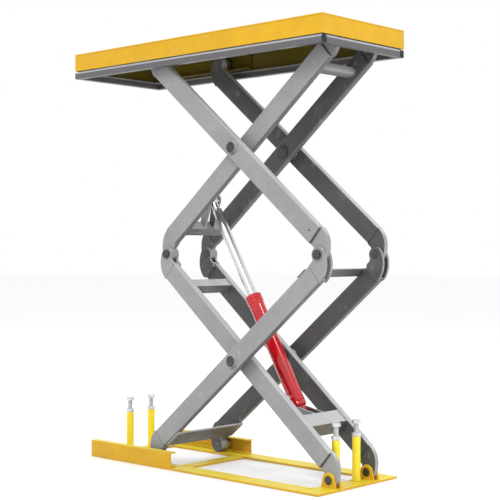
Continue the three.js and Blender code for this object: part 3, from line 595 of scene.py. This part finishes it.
class Arm:
    """An arm's own frame: u along the tube from its low pin to its high pin, v across it, upwards."""

    def __init__(self, low_pin, high_pin):
        line = high_pin - low_pin
        self.leans = 1 if line.x > 0 else -1
        half = line.length / 2
        crank = asin(PIN_OFFSET / half)
        slope = atan2(line.y, abs(line.x)) - crank
        self.reach = half * cos(crank)
        self.centre = (low_pin + high_pin) / 2
        self.along = Vector((self.leans * cos(slope), sin(slope)))
        self.across = Vector((-self.leans * sin(slope), cos(slope)))

    def place(self, u, v):
        return tuple(self.centre + u * self.along + v * self.across)

    def point(self, u, v, y):
        x, z = self.place(u, v)
        return (x, y, z)


lower_outer = Arm(LOWER_ROLLER, OUTER_JOINT)
lower_inner = Arm(BASE_PIVOT, INNER_JOINT)
upper_outer = Arm(OUTER_JOINT, UPPER_ROLLER)
upper_inner = Arm(INNER_JOINT, TOP_PIVOT)


def tube(bm, arm, side, face):
    """The arm's rectangular tube with rounded corners and closed, slightly rounded ends."""
    centre_y = side * (face - ARM_WIDTH / 2)
    half = arm.reach - TUBE_END
    x, y = ARM_WIDTH / 2 - ARM_CORNER, ARM_HEIGHT / 2 - ARM_CORNER
    section = []
    for i, centre in enumerate(((x, y), (-x, y), (-x, -y), (x, -y))):
        section += arc(ARM_CORNER, 90 * i, 90 * i + 90, 6, centre)
    rim, drawn_in = 0.0008, 0.93
    ends = []
    for u, shrink in ((-half, drawn_in), (-half + rim, 1), (half - rim, 1), (half, drawn_in)):
        taller = 0.5 + shrink / 2
        ends.append([bm.verts.new(arm.point(u, v * taller, centre_y + w * shrink)) for w, v in section])
    bridge(bm, ends)


def knuckle_outline(arm, end, sunk):
    """The curved plate from a tube's cut end round the end pin. sunk plates start inside the tube."""
    edge = PIN_OFFSET - ARM_HEIGHT / 2
    back = edge + ARM_HEIGHT
    r = KNUCKLE_RADIUS
    round_pin = arc(r, -12, 165, 44)
    outer, inner = round_pin[0], round_pin[-1]
    belly, shoulder = (outer[0] - 0.008, -1.6 * r), (-1.1 * r, -edge)
    points = [
        *bezier((-TUBE_END, -back), (-0.25 * TUBE_END, -back), belly, outer, 22)[:-1],
        *round_pin[:-1],
        *bezier(inner, shoulder, shoulder, (-TUBE_END, -edge), 12),
    ]
    if sunk:
        points += [
            (-TUBE_END - FORK_PLATE, -edge - ARM_CORNER),
            (-TUBE_END - FORK_PLATE, -back + ARM_CORNER),
        ]
    return [arm.place(end * arm.reach + end * u, end * PIN_OFFSET + end * v) for u, v in points]


def root_outline(arm, end):
    """The block that closes the tube between a fork's plates."""
    edge = PIN_OFFSET - ARM_HEIGHT / 2
    back = edge + ARM_HEIGHT
    near, far = -TUBE_END - 0.8 * FORK_PLATE, -TUBE_END + FORK_PLATE
    inset = 0.0012
    points = [
        (near, -back + ARM_CORNER),
        (far, -back + inset),
        (far, -edge - inset),
        (near, -edge - ARM_CORNER),
    ]
    return [arm.place(end * arm.reach + end * u, end * PIN_OFFSET + end * v) for u, v in points]


SKIN = 0.0002
LUG_SUNK = 0.0005
AXLE_INNER_PROUD = 0.003
AXLE_OUTER_PROUD = 0.0018


def arm_end(bm, arm, end, form, face, side):
    """Adds an arm's end: a fork of two plates, a single lug, or a plate with a roller's stub axle."""
    outline = knuckle_outline(arm, end, form == "lug")
    if form == "fork":
        slab(bm, outline, *span(side, face - FORK_PLATE, face))
        slab(bm, outline, *span(side, face - FORK_DEPTH, face - FORK_DEPTH + FORK_PLATE))
        slab(bm, root_outline(arm, end), *span(side, face - FORK_DEPTH + SKIN, face - SKIN))
    elif form == "lug":
        outside = face - FORK_PLATE - LUG_SUNK
        slab(bm, outline, *span(side, outside - LUG_THICKNESS, outside))
    else:
        slab(bm, outline, *span(side, face - ARM_WIDTH, face))
        x, z = arm.place(end * arm.reach, end * PIN_OFFSET)
        level = "lower" if z < INNER_JOINT.y else "upper"
        low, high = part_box(f"{level}_roller_{'near' if side < 0 else 'far'}")
        axle_start = face - ARM_WIDTH - AXLE_INNER_PROUD
        axle_end = max(abs(low.y), abs(high.y)) + AXLE_OUTER_PROUD
        lathe(bm, chamfered(AXLE_RADIUS, *span(side, axle_start, axle_end), 0.0012), 48, along_y(x, z))


def build_arm(name, arm, side, face, low_end, high_end, body):
    """An arm with its ends and hub in one piece, then its hub's weld, the seams at its ends in a near-black
    paint that is painted shade, and a black disc in its drain hole that is painted shade."""
    bm = bmesh.new()
    tube(bm, arm, side, face)
    arm_end(bm, arm, -1, low_end, face, side)
    arm_end(bm, arm, 1, high_end, face, side)
    is_outer = face == OUTER_FACE
    low = INNER_FACE + HUB_GAP if is_outer else INNER_FACE - ARM_WIDTH
    high = OUTER_FACE + HUB_PROUD if is_outer else INNER_FACE
    x, z = arm.place(0, 0)
    bore = CENTRE_PIN_RADIUS + BORE_PLAY
    hub = [
        (bore, low + 0.001),
        (bore + 0.001, low),
        (HUB_RADIUS - 0.001, low),
        (HUB_RADIUS, low + 0.001),
        (HUB_RADIUS, high - 0.0015),
        (HUB_RADIUS - 0.0015, high),
        (bore + 0.001, high),
        (bore, high - 0.001),
        (bore, low + 0.001),
    ]
    lathe(bm, [(r, side * y) for r, y in hub], 56, along_y(x, z))
    piece = finished(bm, f"{name}_shape", arm_paint, body)
    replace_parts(piece, name)
    seams = bmesh.new()
    if is_outer:
        beads = bmesh.new()
        ring = circle_path(x, side * (face + 0.0004), z, HUB_RADIUS + HUB_BEAD / 2, "Y")
        bead(beads, ring, HUB_BEAD, closed=True)
        finished(beads, f"{name}_weld", arm_paint, body, 60)
    for end, form in ((-1, low_end), (1, high_end)):
        u = end * (arm.reach - TUBE_END)
        half = ARM_HEIGHT / 2 - 0.4 * ARM_CORNER
        if form == "lug":
            for drop in (FORK_PLATE, FORK_PLATE + LUG_THICKNESS + 2 * LUG_SUNK):
                y = side * (face - drop)
                bead(seams, [arm.point(u, -half, y), arm.point(u, half, y)], LUG_BEAD)
        else:
            y = side * (face - SEAM_BEAD / 3)
            bead(seams, [arm.point(u, -half, y), arm.point(u, half, y)], SEAM_BEAD, pitch=0.003)
    # The seams take the near-black paint, a painted shade.
    finished(seams, f"{name}_seam", seam_shade_paint, body, 60)
    # Painted shade: a black disc sunk in the drain hole stands for the shade inside it.
    drain_shade_disc = bmesh.new()
    drain_face = face if arm is upper_outer else face - ARM_WIDTH
    inside, outside = side * (drain_face - 0.002), side * (drain_face + SKIN)
    disc = [(0, inside), (DRAIN_RADIUS, inside), (DRAIN_RADIUS, outside), (0, outside)]
    lathe(drain_shade_disc, disc, 32, along_y(*arm.place(DRAIN_FROM_END - arm.reach + TUBE_END, 0)))
    finished(drain_shade_disc, f"{name}_drain", seal_rubber, body)


for label, side in SIDES:
    build_arm(f"lower_outer_arm_{label}", lower_outer, side, OUTER_FACE, "roller", "fork", "lower_outer")
    build_arm(f"lower_inner_arm_{label}", lower_inner, side, INNER_FACE, "lug", "fork", "lower_inner")
    build_arm(f"upper_outer_arm_{label}", upper_outer, side, OUTER_FACE, "lug", "roller", "upper_outer")
    build_arm(f"upper_inner_arm_{label}", upper_inner, side, INNER_FACE, "lug", "lug", "upper_inner")

# ---------------------------------------------------------------- pins


PIN_EDGE = 0.002
CENTRE_MARK_RADIUS = 0.0035
CENTRE_MARK_DEPTH = 0.0028
CLIP_FROM_EDGE = 0.0031
CLIP_HALF = 0.0008
CLIP_PROUD = 0.0022
CLIP_SUNK = 0.001
GROOVE_HALF = 0.0011
GROOVE_DEPTH = 0.0011
WASHER_RADIUS = 0.027
WASHER_THICKNESS = 0.005
WASHER_PLAY = 0.0003


def pin_piece(node, radius, body, washer=False):
    """A turned pin with chamfered ends, a centre mark and a spring clip near its outer end. washer adds one
    against the inner arm."""
    low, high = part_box(node)
    axis = along_y(*middle(low, high))
    side = -1 if low.y < 0 else 1
    inner, outer = sorted((abs(low.y), abs(high.y)))
    clip_at = outer - PIN_EDGE - CLIP_FROM_EDGE
    profile = [
        (0, inner),
        (radius - PIN_EDGE, inner),
        (radius, inner + PIN_EDGE),
        (radius, clip_at - GROOVE_HALF),
        (radius - GROOVE_DEPTH, clip_at - GROOVE_HALF),
        (radius - GROOVE_DEPTH, clip_at + GROOVE_HALF),
        (radius, clip_at + GROOVE_HALF),
        (radius, outer - PIN_EDGE),
        (radius - PIN_EDGE, outer),
        (CENTRE_MARK_RADIUS, outer),
        (0, outer - CENTRE_MARK_DEPTH),
    ]
    bm = bmesh.new()
    lathe(bm, [(r, side * y) for r, y in profile], 64, axis)
    if washer:
        end = INNER_FACE - ARM_WIDTH - WASHER_PLAY
        ring = chamfered(WASHER_RADIUS, end - WASHER_THICKNESS, end, 0.0008)
        lathe(bm, [(r, side * y) for r, y in ring], 64, axis)
    piece = finished(bm, f"{node}_shape", pin_steel, body)
    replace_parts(piece, node)
    clip = bmesh.new()
    ring = washer_profile(radius - CLIP_SUNK, radius + CLIP_PROUD, clip_at - CLIP_HALF, clip_at + CLIP_HALF)
    lathe(clip, [(r, side * y) for r, y in ring], 48, axis)
    finished(clip, f"{node}_clip", clip_steel, body)


for label, _ in SIDES:
    pin_piece(f"lower_centre_pin_{label}", CENTRE_PIN_RADIUS, "lower_inner", washer=True)
    pin_piece(f"upper_centre_pin_{label}", CENTRE_PIN_RADIUS, "upper_inner", washer=True)
    pin_piece(f"outer_joint_pin_{label}", END_PIN_RADIUS, "lower_outer")
    pin_piece(f"inner_joint_pin_{label}", END_PIN_RADIUS, "lower_inner")
    pin_piece(f"base_pivot_pin_{label}", END_PIN_RADIUS, "base")
    pin_piece(f"platform_pivot_pin_{label}", END_PIN_RADIUS, "platform")

bm = bmesh.new()
low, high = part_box("cylinder_base_pin")
lathe(bm, chamfered(CYLINDER_PIN_RADIUS, low.y, high.y), 48, along_y(*middle(low, high)))
cylinder_pin = finished(bm, "cylinder_base_pin_shape", pin_steel, "lower_inner")
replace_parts(cylinder_pin, "cylinder_base_pin")

# ---------------------------------------------------------------- rollers


ROLLER_GROOVE = 0.001
TREAD_EDGE = 0.003
TREAD_FALL = 0.0006


def roller_piece(node, body):
    """A plated roller: a crowned tread and a round groove in each face."""
    low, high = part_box(node)
    side = -1 if low.y < 0 else 1
    inner, outer = sorted((abs(low.y), abs(high.y)))
    r = (high.x - low.x) / 2
    bore = AXLE_RADIUS + BORE_PLAY
    profile = [
        (bore, inner),
        (0.6 * r, inner),
        (0.62 * r, inner + ROLLER_GROOVE),
        (0.74 * r, inner + ROLLER_GROOVE),
        (0.76 * r, inner),
        (r - TREAD_EDGE, inner),
        (r - TREAD_FALL, inner + TREAD_EDGE),
        (r - 0.0001, (inner + outer) / 2),
        (r - TREAD_FALL, outer - TREAD_EDGE),
        (r - TREAD_EDGE, outer),
        (0.76 * r, outer),
        (0.74 * r, outer - ROLLER_GROOVE),
        (0.62 * r, outer - ROLLER_GROOVE),
        (0.6 * r, outer),
        (bore, outer),
        (bore, inner),
    ]
    bm = bmesh.new()
    lathe(bm, [(radius, side * y) for radius, y in profile], 64, along_y(*middle(low, high)))
    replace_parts(finished(bm, f"{node}_shape", zinc, body), node)


for label, _ in SIDES:
    roller_piece(f"lower_roller_{label}", f"lower_roller_{label}_body")
    roller_piece(f"upper_roller_{label}", f"upper_roller_{label}_body")

# ---------------------------------------------------------------- stop posts and bolts


CORNER_CUT = 0.0024


def hexagon(bm, low, high, flats, chamfer_top, chamfer_low):
    """Adds a hexagon whose ends are turned down to a circle where asked, as on bolt heads and nuts."""
    around = 48
    turned = flats / 2 * 0.985
    levels = []
    heights = (low, low + CORNER_CUT, high - CORNER_CUT, high)
    for z, cut in zip(heights, (chamfer_low, False, False, chamfer_top)):
        ring = []
        for i in range(around):
            angle = 2 * pi * i / around
            off_flat = (angle + pi / 6) % (pi / 3) - pi / 6
            distance = turned if cut else flats / 2 / cos(off_flat)
            ring.append(bm.verts.new((distance * cos(angle), distance * sin(angle), z)))
        levels.append(ring)
    bridge(bm, levels)


def thread(bm, radius, low, high, pitch=0.0025, depth=0.0013, segments=36):
    """Adds a screw thread: one ridge that climbs round the shank."""
    rows = []
    per_turn = 6
    count = int((high - low) / pitch * per_turn)
    for k in range(count + 1):
        height = low + (high - low) * k / count
        row = []
        for i in range(segments):
            angle = 2 * pi * i / segments
            phase = (height / pitch - angle / (2 * pi)) % 1.0
            r = radius - depth * abs(2 * phase - 1)
            row.append(bm.verts.new((r * cos(angle), r * sin(angle), height)))
        rows.append(row)
    bridge(bm, rows)


POST_EDGE = 0.0012
POST_BORE = 0.0106
POST_BORE_DEPTH = 0.05
THREAD_RADIUS = 0.010
THREAD_IN_POST = 0.04
BOLT_HEAD = 0.013
NUT = 0.014
NUT_GAP = 0.0003
COLLAR_RADIUS = 0.0138
COLLAR = 0.0008


def stop(end, label):
    """A stop post with its weld, and in it a threaded bolt with its lock nut."""
    post_low, post_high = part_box(f"stop_post_{end}_{label}")
    bolt_low, bolt_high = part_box(f"stop_bolt_{end}_{label}")
    x, y = (post_low.x + post_high.x) / 2, (post_low.y + post_high.y) / 2
    outer = (post_high.x - post_low.x) / 2
    flats = bolt_high.x - bolt_low.x
    bm = bmesh.new()
    profile = [
        (0, post_low.z),
        (outer, post_low.z),
        (outer, post_high.z - POST_EDGE),
        (outer - POST_EDGE, post_high.z),
        (POST_BORE + 0.001, post_high.z),
        (POST_BORE, post_high.z - 0.001),
        (POST_BORE, post_high.z - POST_BORE_DEPTH),
        (0, post_high.z - POST_BORE_DEPTH),
    ]
    lathe(bm, profile, 56, Matrix.Translation((x, y, 0)))
    # The post takes the paler yellow, a painted light.
    post = finished(bm, f"stop_post_{end}_{label}_shape", lit_post_paint, "base")
    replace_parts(post, f"stop_post_{end}_{label}")
    bm = bmesh.new()
    under_head = bolt_high.z - BOLT_HEAD
    nut_low = post_high.z + NUT_GAP
    hexagon(bm, under_head, bolt_high.z, flats, chamfer_top=True, chamfer_low=False)
    low, high = under_head - COLLAR, under_head + SKIN
    lathe(bm, [(0, low), (COLLAR_RADIUS, low), (COLLAR_RADIUS, high), (0, high)], 40)
    hexagon(bm, nut_low, nut_low + NUT, flats, chamfer_top=True, chamfer_low=True)
    thread(bm, THREAD_RADIUS, nut_low - THREAD_IN_POST, under_head + 0.0005)
    bmesh.ops.transform(bm, matrix=Matrix.Translation((x, y, 0)), verts=bm.verts)
    bolt = finished(bm, f"stop_bolt_{end}_{label}_shape", zinc, "base", 25)
    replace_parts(bolt, f"stop_bolt_{end}_{label}")
    bm = bmesh.new()
    bead(bm, circle_path(x, y, post_low.z + 0.0006, outer + 0.0008, "Z"), POST_BEAD, closed=True)
    finished(bm, f"stop_post_{end}_{label}_weld", base_paint, "base", 60)


for end in ("left", "right"):
    for label, _ in SIDES:
        stop(end, label)

# ---------------------------------------------------------------- cylinder

EYE_RADIUS = 0.024
EYE_HALF = 0.015
EYE_EDGE = 0.0015
FOOT_RADIUS = 0.0295
FOOT_LOW = 0.022
FOOT_HIGH = 0.040
FOOT_EDGE = 0.0035
FOOT_GROOVE_RADIUS = 0.0288
BARREL_RADIUS = 0.030
BARREL_END = 0.5004
GLAND_SLEEVE = 0.0006
GLAND_RADIUS = 0.033
GLAND_EDGE = 0.003
GLAND_GROOVE = 0.0014
WIPER_SEAT_RADIUS = 0.0225
WIPER_SEAT_DEPTH = 0.002
ROD_RADIUS = 0.019
ROD_HOLE_RADIUS = 0.0192
ROD_HOLE_DEPTH = 0.030
NECK_RADIUS = 0.015
NECK_BELOW_PIN = 0.052
NECK_EDGE = 0.0015
ROD_PIN_HALF = 0.0187
PORT_FROM_EYE = 0.064
PORT_RADIUS = 0.0125
PORT_TOP = 0.0385
PORT_EDGE = 0.001
PLUG_TOP = 0.0455
PLUG_FLATS = 0.017

base_eye = Vector(joints["cylinder_base"]["pos_m"])
direction = Vector(joints["cylinder_stroke"]["axis"]).normalized()
low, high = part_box("piston_rod")
rod_eye = Vector((low.x + EYE_RADIUS, 0, high.z - EYE_RADIUS))
pin_to_pin = (rod_eye - base_eye).dot(direction)
turn = direction.to_track_quat("Z", "Y").to_matrix().to_4x4()
cylinder_frame = Matrix.Translation(base_eye) @ turn

# In the cylinder's own frame Z runs from the base eye to the rod eye, and X points to the near side. Both
# eyes and the rod's pin are turned about local Y, which lies in the middle plane, while the CAD pins run
# along X. So they stand a quarter turn off their ears, a known fault.
across = Matrix.Rotation(-pi / 2, 4, "X")
eye = [
    (0, -EYE_HALF),
    (EYE_RADIUS - EYE_EDGE, -EYE_HALF),
    (EYE_RADIUS, -EYE_HALF + EYE_EDGE),
    (EYE_RADIUS, EYE_HALF - EYE_EDGE),
    (EYE_RADIUS - EYE_EDGE, EYE_HALF),
    (0, EYE_HALF),
]

bm = bmesh.new()
lathe(bm, [
    (0, FOOT_LOW),
    (FOOT_RADIUS - FOOT_EDGE, FOOT_LOW),
    (FOOT_RADIUS, FOOT_LOW + FOOT_EDGE),
    (FOOT_RADIUS, FOOT_HIGH),
    (FOOT_GROOVE_RADIUS, FOOT_HIGH + 0.0012),
    (FOOT_GROOVE_RADIUS, FOOT_HIGH + 0.0040),
    (BARREL_RADIUS, FOOT_HIGH + 0.0052),
    (BARREL_RADIUS, BARREL_END - 0.052),
    (BARREL_RADIUS + GLAND_SLEEVE, BARREL_END - 0.050),
    (BARREL_RADIUS + GLAND_SLEEVE, BARREL_END - 0.036),
    (GLAND_RADIUS, BARREL_END - 0.034),
    (GLAND_RADIUS, BARREL_END - 0.0215),
    (GLAND_RADIUS - GLAND_GROOVE, BARREL_END - 0.0205),
    (GLAND_RADIUS - GLAND_GROOVE, BARREL_END - 0.0185),
    (GLAND_RADIUS, BARREL_END - 0.0175),
    (GLAND_RADIUS, BARREL_END - GLAND_EDGE),
    (GLAND_RADIUS - GLAND_EDGE, BARREL_END),
    (WIPER_SEAT_RADIUS, BARREL_END),
    (WIPER_SEAT_RADIUS, BARREL_END - WIPER_SEAT_DEPTH),
    (ROD_HOLE_RADIUS, BARREL_END - WIPER_SEAT_DEPTH),
    (ROD_HOLE_RADIUS, BARREL_END - ROD_HOLE_DEPTH),
    (0, BARREL_END - ROD_HOLE_DEPTH),
], 96)
lathe(bm, eye, 64, across)
for end in (-1, 1):
    ring = washer_profile(0.0135, 0.0172, end * EYE_HALF, end * (EYE_HALF + 0.0012))
    lathe(bm, ring, 48, across)
barrel = finished(bm, "cylinder_barrel_shape", red_paint, "barrel")
placed(barrel, cylinder_frame)
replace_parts(barrel, "cylinder_barrel")


def eye_joint(angle):
    """A point of the weld where the eye meets the barrel's foot: round at its ends, straight between."""
    half = EYE_HALF if sin(angle) > 0 else -EYE_HALF
    return (0.0203 * cos(angle), half * min(1, abs(sin(angle)) * 2.2), FOOT_LOW + 0.0005)


bm = bmesh.new()
bead(bm, [eye_joint(2 * pi * i / 40) for i in range(40)], EYE_BEAD, closed=True)
foot_seam = circle_path(0, 0, FOOT_HIGH + 0.0026, FOOT_GROOVE_RADIUS, "Z", 56)
bead(bm, foot_seam, FOOT_BEAD, closed=True, pitch=0.0035)
placed(finished(bm, "cylinder_barrel_weld", red_paint, "barrel", 60), cylinder_frame)

# The oil port: a boss on the barrel's near side, with a hexagon plug.
bm = bmesh.new()
port = Matrix.Translation((0, 0, PORT_FROM_EYE)) @ Matrix.Rotation(pi / 2, 4, "Y")
lathe(bm, [
    (0, 0.020),
    (PORT_RADIUS, 0.020),
    (PORT_RADIUS, PORT_TOP - PORT_EDGE),
    (PORT_RADIUS - PORT_EDGE, PORT_TOP),
    (0, PORT_TOP),
], 48, port)
placed(finished(bm, "cylinder_port_boss", red_paint, "barrel"), cylinder_frame)
bm = bmesh.new()
hexagon(bm, PORT_TOP, PLUG_TOP, PLUG_FLATS, chamfer_top=True, chamfer_low=False)
bmesh.ops.transform(bm, matrix=port, verts=bm.verts)
placed(finished(bm, "cylinder_port_plug", zinc, "barrel", 25), cylinder_frame)

bm = bmesh.new()
lathe(bm, [
    (0.0191, BARREL_END - 0.0018),
    (0.0222, BARREL_END - 0.0018),
    (0.0222, BARREL_END + 0.0006),
    (0.0205, BARREL_END + 0.0022),
    (0.0191, BARREL_END + 0.0026),
    (0.0191, BARREL_END - 0.0018),
], 72)
placed(finished(bm, "cylinder_wiper", seal_rubber, "barrel"), cylinder_frame)

bm = bmesh.new()
neck = pin_to_pin - NECK_BELOW_PIN
lathe(bm, [
    (0, BARREL_END - ROD_HOLE_DEPTH),
    (ROD_RADIUS, BARREL_END - ROD_HOLE_DEPTH),
    (ROD_RADIUS, neck - NECK_EDGE),
    (ROD_RADIUS - NECK_EDGE, neck),
    (NECK_RADIUS, neck + NECK_EDGE),
    (NECK_RADIUS, pin_to_pin - 0.020),
    (0, pin_to_pin - 0.020),
], 96)
rod_end = Matrix.Translation((0, 0, pin_to_pin)) @ across
lathe(bm, eye, 64, rod_end)
lathe(bm, chamfered(CYLINDER_PIN_RADIUS, -ROD_PIN_HALF, ROD_PIN_HALF), 48, rod_end)
rod_piece = finished(bm, "piston_rod_shape", chrome, "piston_rod_body")
placed(rod_piece, cylinder_frame)
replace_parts(rod_piece, "piston_rod")

# ---------------------------------------------------------------- cross tube

bm = bmesh.new()
low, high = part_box("upper_cross_tube")
outer = (high.x - low.x) / 2
TUBE_WALL = 0.004
TUBE_EDGE = 0.0005
tube_profile = [
    (outer - TUBE_WALL, low.y),
    (outer - TUBE_EDGE, low.y),
    (outer, low.y + TUBE_EDGE),
    (outer, high.y - TUBE_EDGE),
    (outer - TUBE_EDGE, high.y),
    (outer - TUBE_WALL, high.y),
    (outer - TUBE_WALL, low.y),
]
tube_x, tube_z = middle(low, high)
lathe(bm, tube_profile, 72, along_y(tube_x, tube_z))
cross_tube = finished(bm, "upper_cross_tube_shape", arm_paint, "upper_inner")
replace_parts(cross_tube, "upper_cross_tube")
bm = bmesh.new()
for y in (low.y + 0.0012, high.y - 0.0012):
    bead(bm, circle_path(tube_x, y, tube_z, outer + 0.0008, "Y", 48), TUBE_BEAD, closed=True)
finished(bm, "upper_cross_tube_weld", arm_paint, "upper_inner", 60)

# ---------------------------------------------------------------- welds on the base and the beams

STITCH_START = 0.02
STITCH = 0.045
STITCH_PITCH = 0.085
BAR_WELD_FROM_RAIL = 0.080
END_GAP = 0.004
EAR_WELD_HALF = 0.034

bm = bmesh.new()
plate_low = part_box("base_end_plate")[0]
for label, side in SIDES:
    low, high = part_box(f"base_roller_rail_{label}")
    y = low.y if side < 0 else high.y
    stitch_y = y - side * 0.0012
    x = low.x + STITCH_START
    while x + STITCH < high.x:
        bead(bm, [(x, stitch_y, low.z), (x + STITCH, stitch_y, low.z)], STITCH_BEAD)
        x += STITCH_PITCH
    inner = side * (abs(y) - BAR_WELD_FROM_RAIL)
    for bar in ("base_left_bar", "base_middle_bar"):
        bar_low, bar_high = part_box(bar)
        start, end = bar_low.x + END_GAP, bar_high.x - END_GAP
        bead(bm, [(start, inner, bar_high.z), (end, inner, bar_high.z)], BAR_BEAD)
    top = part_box(f"base_side_bar_{label}")[1].z
    bead(bm, [(plate_low.x, inner, top), (plate_low.x, y - side * END_GAP, top)], BAR_BEAD)
plate_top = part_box("base_side_bar_near")[1].z
pin_low, pin_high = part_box("base_pivot_pin_near")
ear_inner, ear_outer = abs(pin_high.y) + 0.003, abs(pin_low.y) - 0.003
start, end = BASE_PIVOT.x - EAR_WELD_HALF, BASE_PIVOT.x + EAR_WELD_HALF
for side in (-1, 1):
    for y in (ear_inner, ear_outer):
        bead(bm, [(start, side * y, plate_top), (end, side * y, plate_top)], EAR_BEAD)
finished(bm, "base_welds", base_paint, "base", 60)


def beam_weld(name, arm, node, corners, body):
    """A bead round each end of a beam, where it meets the inner arms. corners are in the arm's frame."""
    low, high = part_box(node)
    bm = bmesh.new()
    for y in (low.y + 0.001, high.y - 0.001):
        bead(bm, [arm.point(u, v, y) for u, v in corners], BEAM_BEAD, closed=True)
    finished(bm, name, arm_paint, body, 60)


def rectangle(u, v, half_u, half_v):
    """The corners of a rectangle about (u, v)."""
    return [(u + i * half_u, v + j * half_v) for i, j in ((-1, -1), (1, -1), (1, 1), (-1, 1))]


HALF_BAR = 0.0205
cross_outline = rectangle(lower_inner.reach - 0.168, 0.013, HALF_BAR, HALF_BAR)
beam_weld("lower_cross_beam_weld", lower_inner, "lower_cross_beam", cross_outline, "lower_inner")
rod_outline = rectangle(0.134 - lower_inner.reach, -0.018, HALF_BAR, HALF_BAR)
beam_weld("rod_beam_weld", upper_inner, "rod_beam", rod_outline, "upper_inner")
cylinder_outline = rectangle(0.220 - lower_inner.reach, 0.001, 0.029, 0.033)
beam_weld("cylinder_beam_weld", lower_inner, "cylinder_beam", cylinder_outline, "lower_inner")

# ---------------------------------------------------------------- studio

floor_mesh = bpy.data.meshes.new("studio_floor")
FLOOR_HALF = 30
FLOOR_BELOW = 0.0005
bm = bmesh.new()
bmesh.ops.create_grid(bm, x_segments=1, y_segments=1, size=FLOOR_HALF)
bm.to_mesh(floor_mesh)
bm.free()
floor = bpy.data.objects.new("studio_floor", floor_mesh)
floor.location.z = cad_box[0][2] - FLOOR_BELOW
scene.collection.objects.link(floor)
floor_shader = Shader("studio_floor_paint", (0.96, 0.96, 0.96), 0.9)
floor_shader.shade(floor_shader.noise(2, 3), 0.995, 1.0)
floor_mesh.materials.append(floor_shader.done())

world = bpy.data.worlds.new("studio")
scene.world = world
world.use_nodes = True
background = world.node_tree.nodes["Background"]
background.inputs["Color"].default_value = (1.0, 1.0, 1.0, 1)
background.inputs["Strength"].default_value = 1.0


def softbox(name, place, size, watts, target=(0, 0, 0.8)):
    """A soft rectangular lamp that looks at target."""
    light = bpy.data.lights.new(name, "AREA")
    light.shape = "RECTANGLE"
    light.size, light.size_y = size
    light.energy = watts
    lamp = bpy.data.objects.new(name, light)
    lamp.location = place
    lamp.rotation_euler = (Vector(target) - Vector(place)).to_track_quat("-Z", "Y").to_euler()
    scene.collection.objects.link(lamp)


softbox("key", (1.2, -4.4, 4.6), (1.4, 1.4), watts=85)
softbox("side", (4.6, -0.4, 3.0), (1.2, 1.2), watts=55)
softbox("top", (-0.6, 0.4, 5.2), (1.6, 1.2), watts=90)

# The camera is level, as in the photograph, at the place and turn that were solved from it.
camera = bpy.data.cameras.new("camera")
camera.sensor_width = 36
camera.lens = 86.54
view = bpy.data.objects.new("camera", camera)
view.location = (3.3236, -3.4612, 0.8601)
view.rotation_euler = (radians(90), 0, radians(42.88))
scene.collection.objects.link(view)
scene.camera = view
scene.view_settings.view_transform = "Standard"
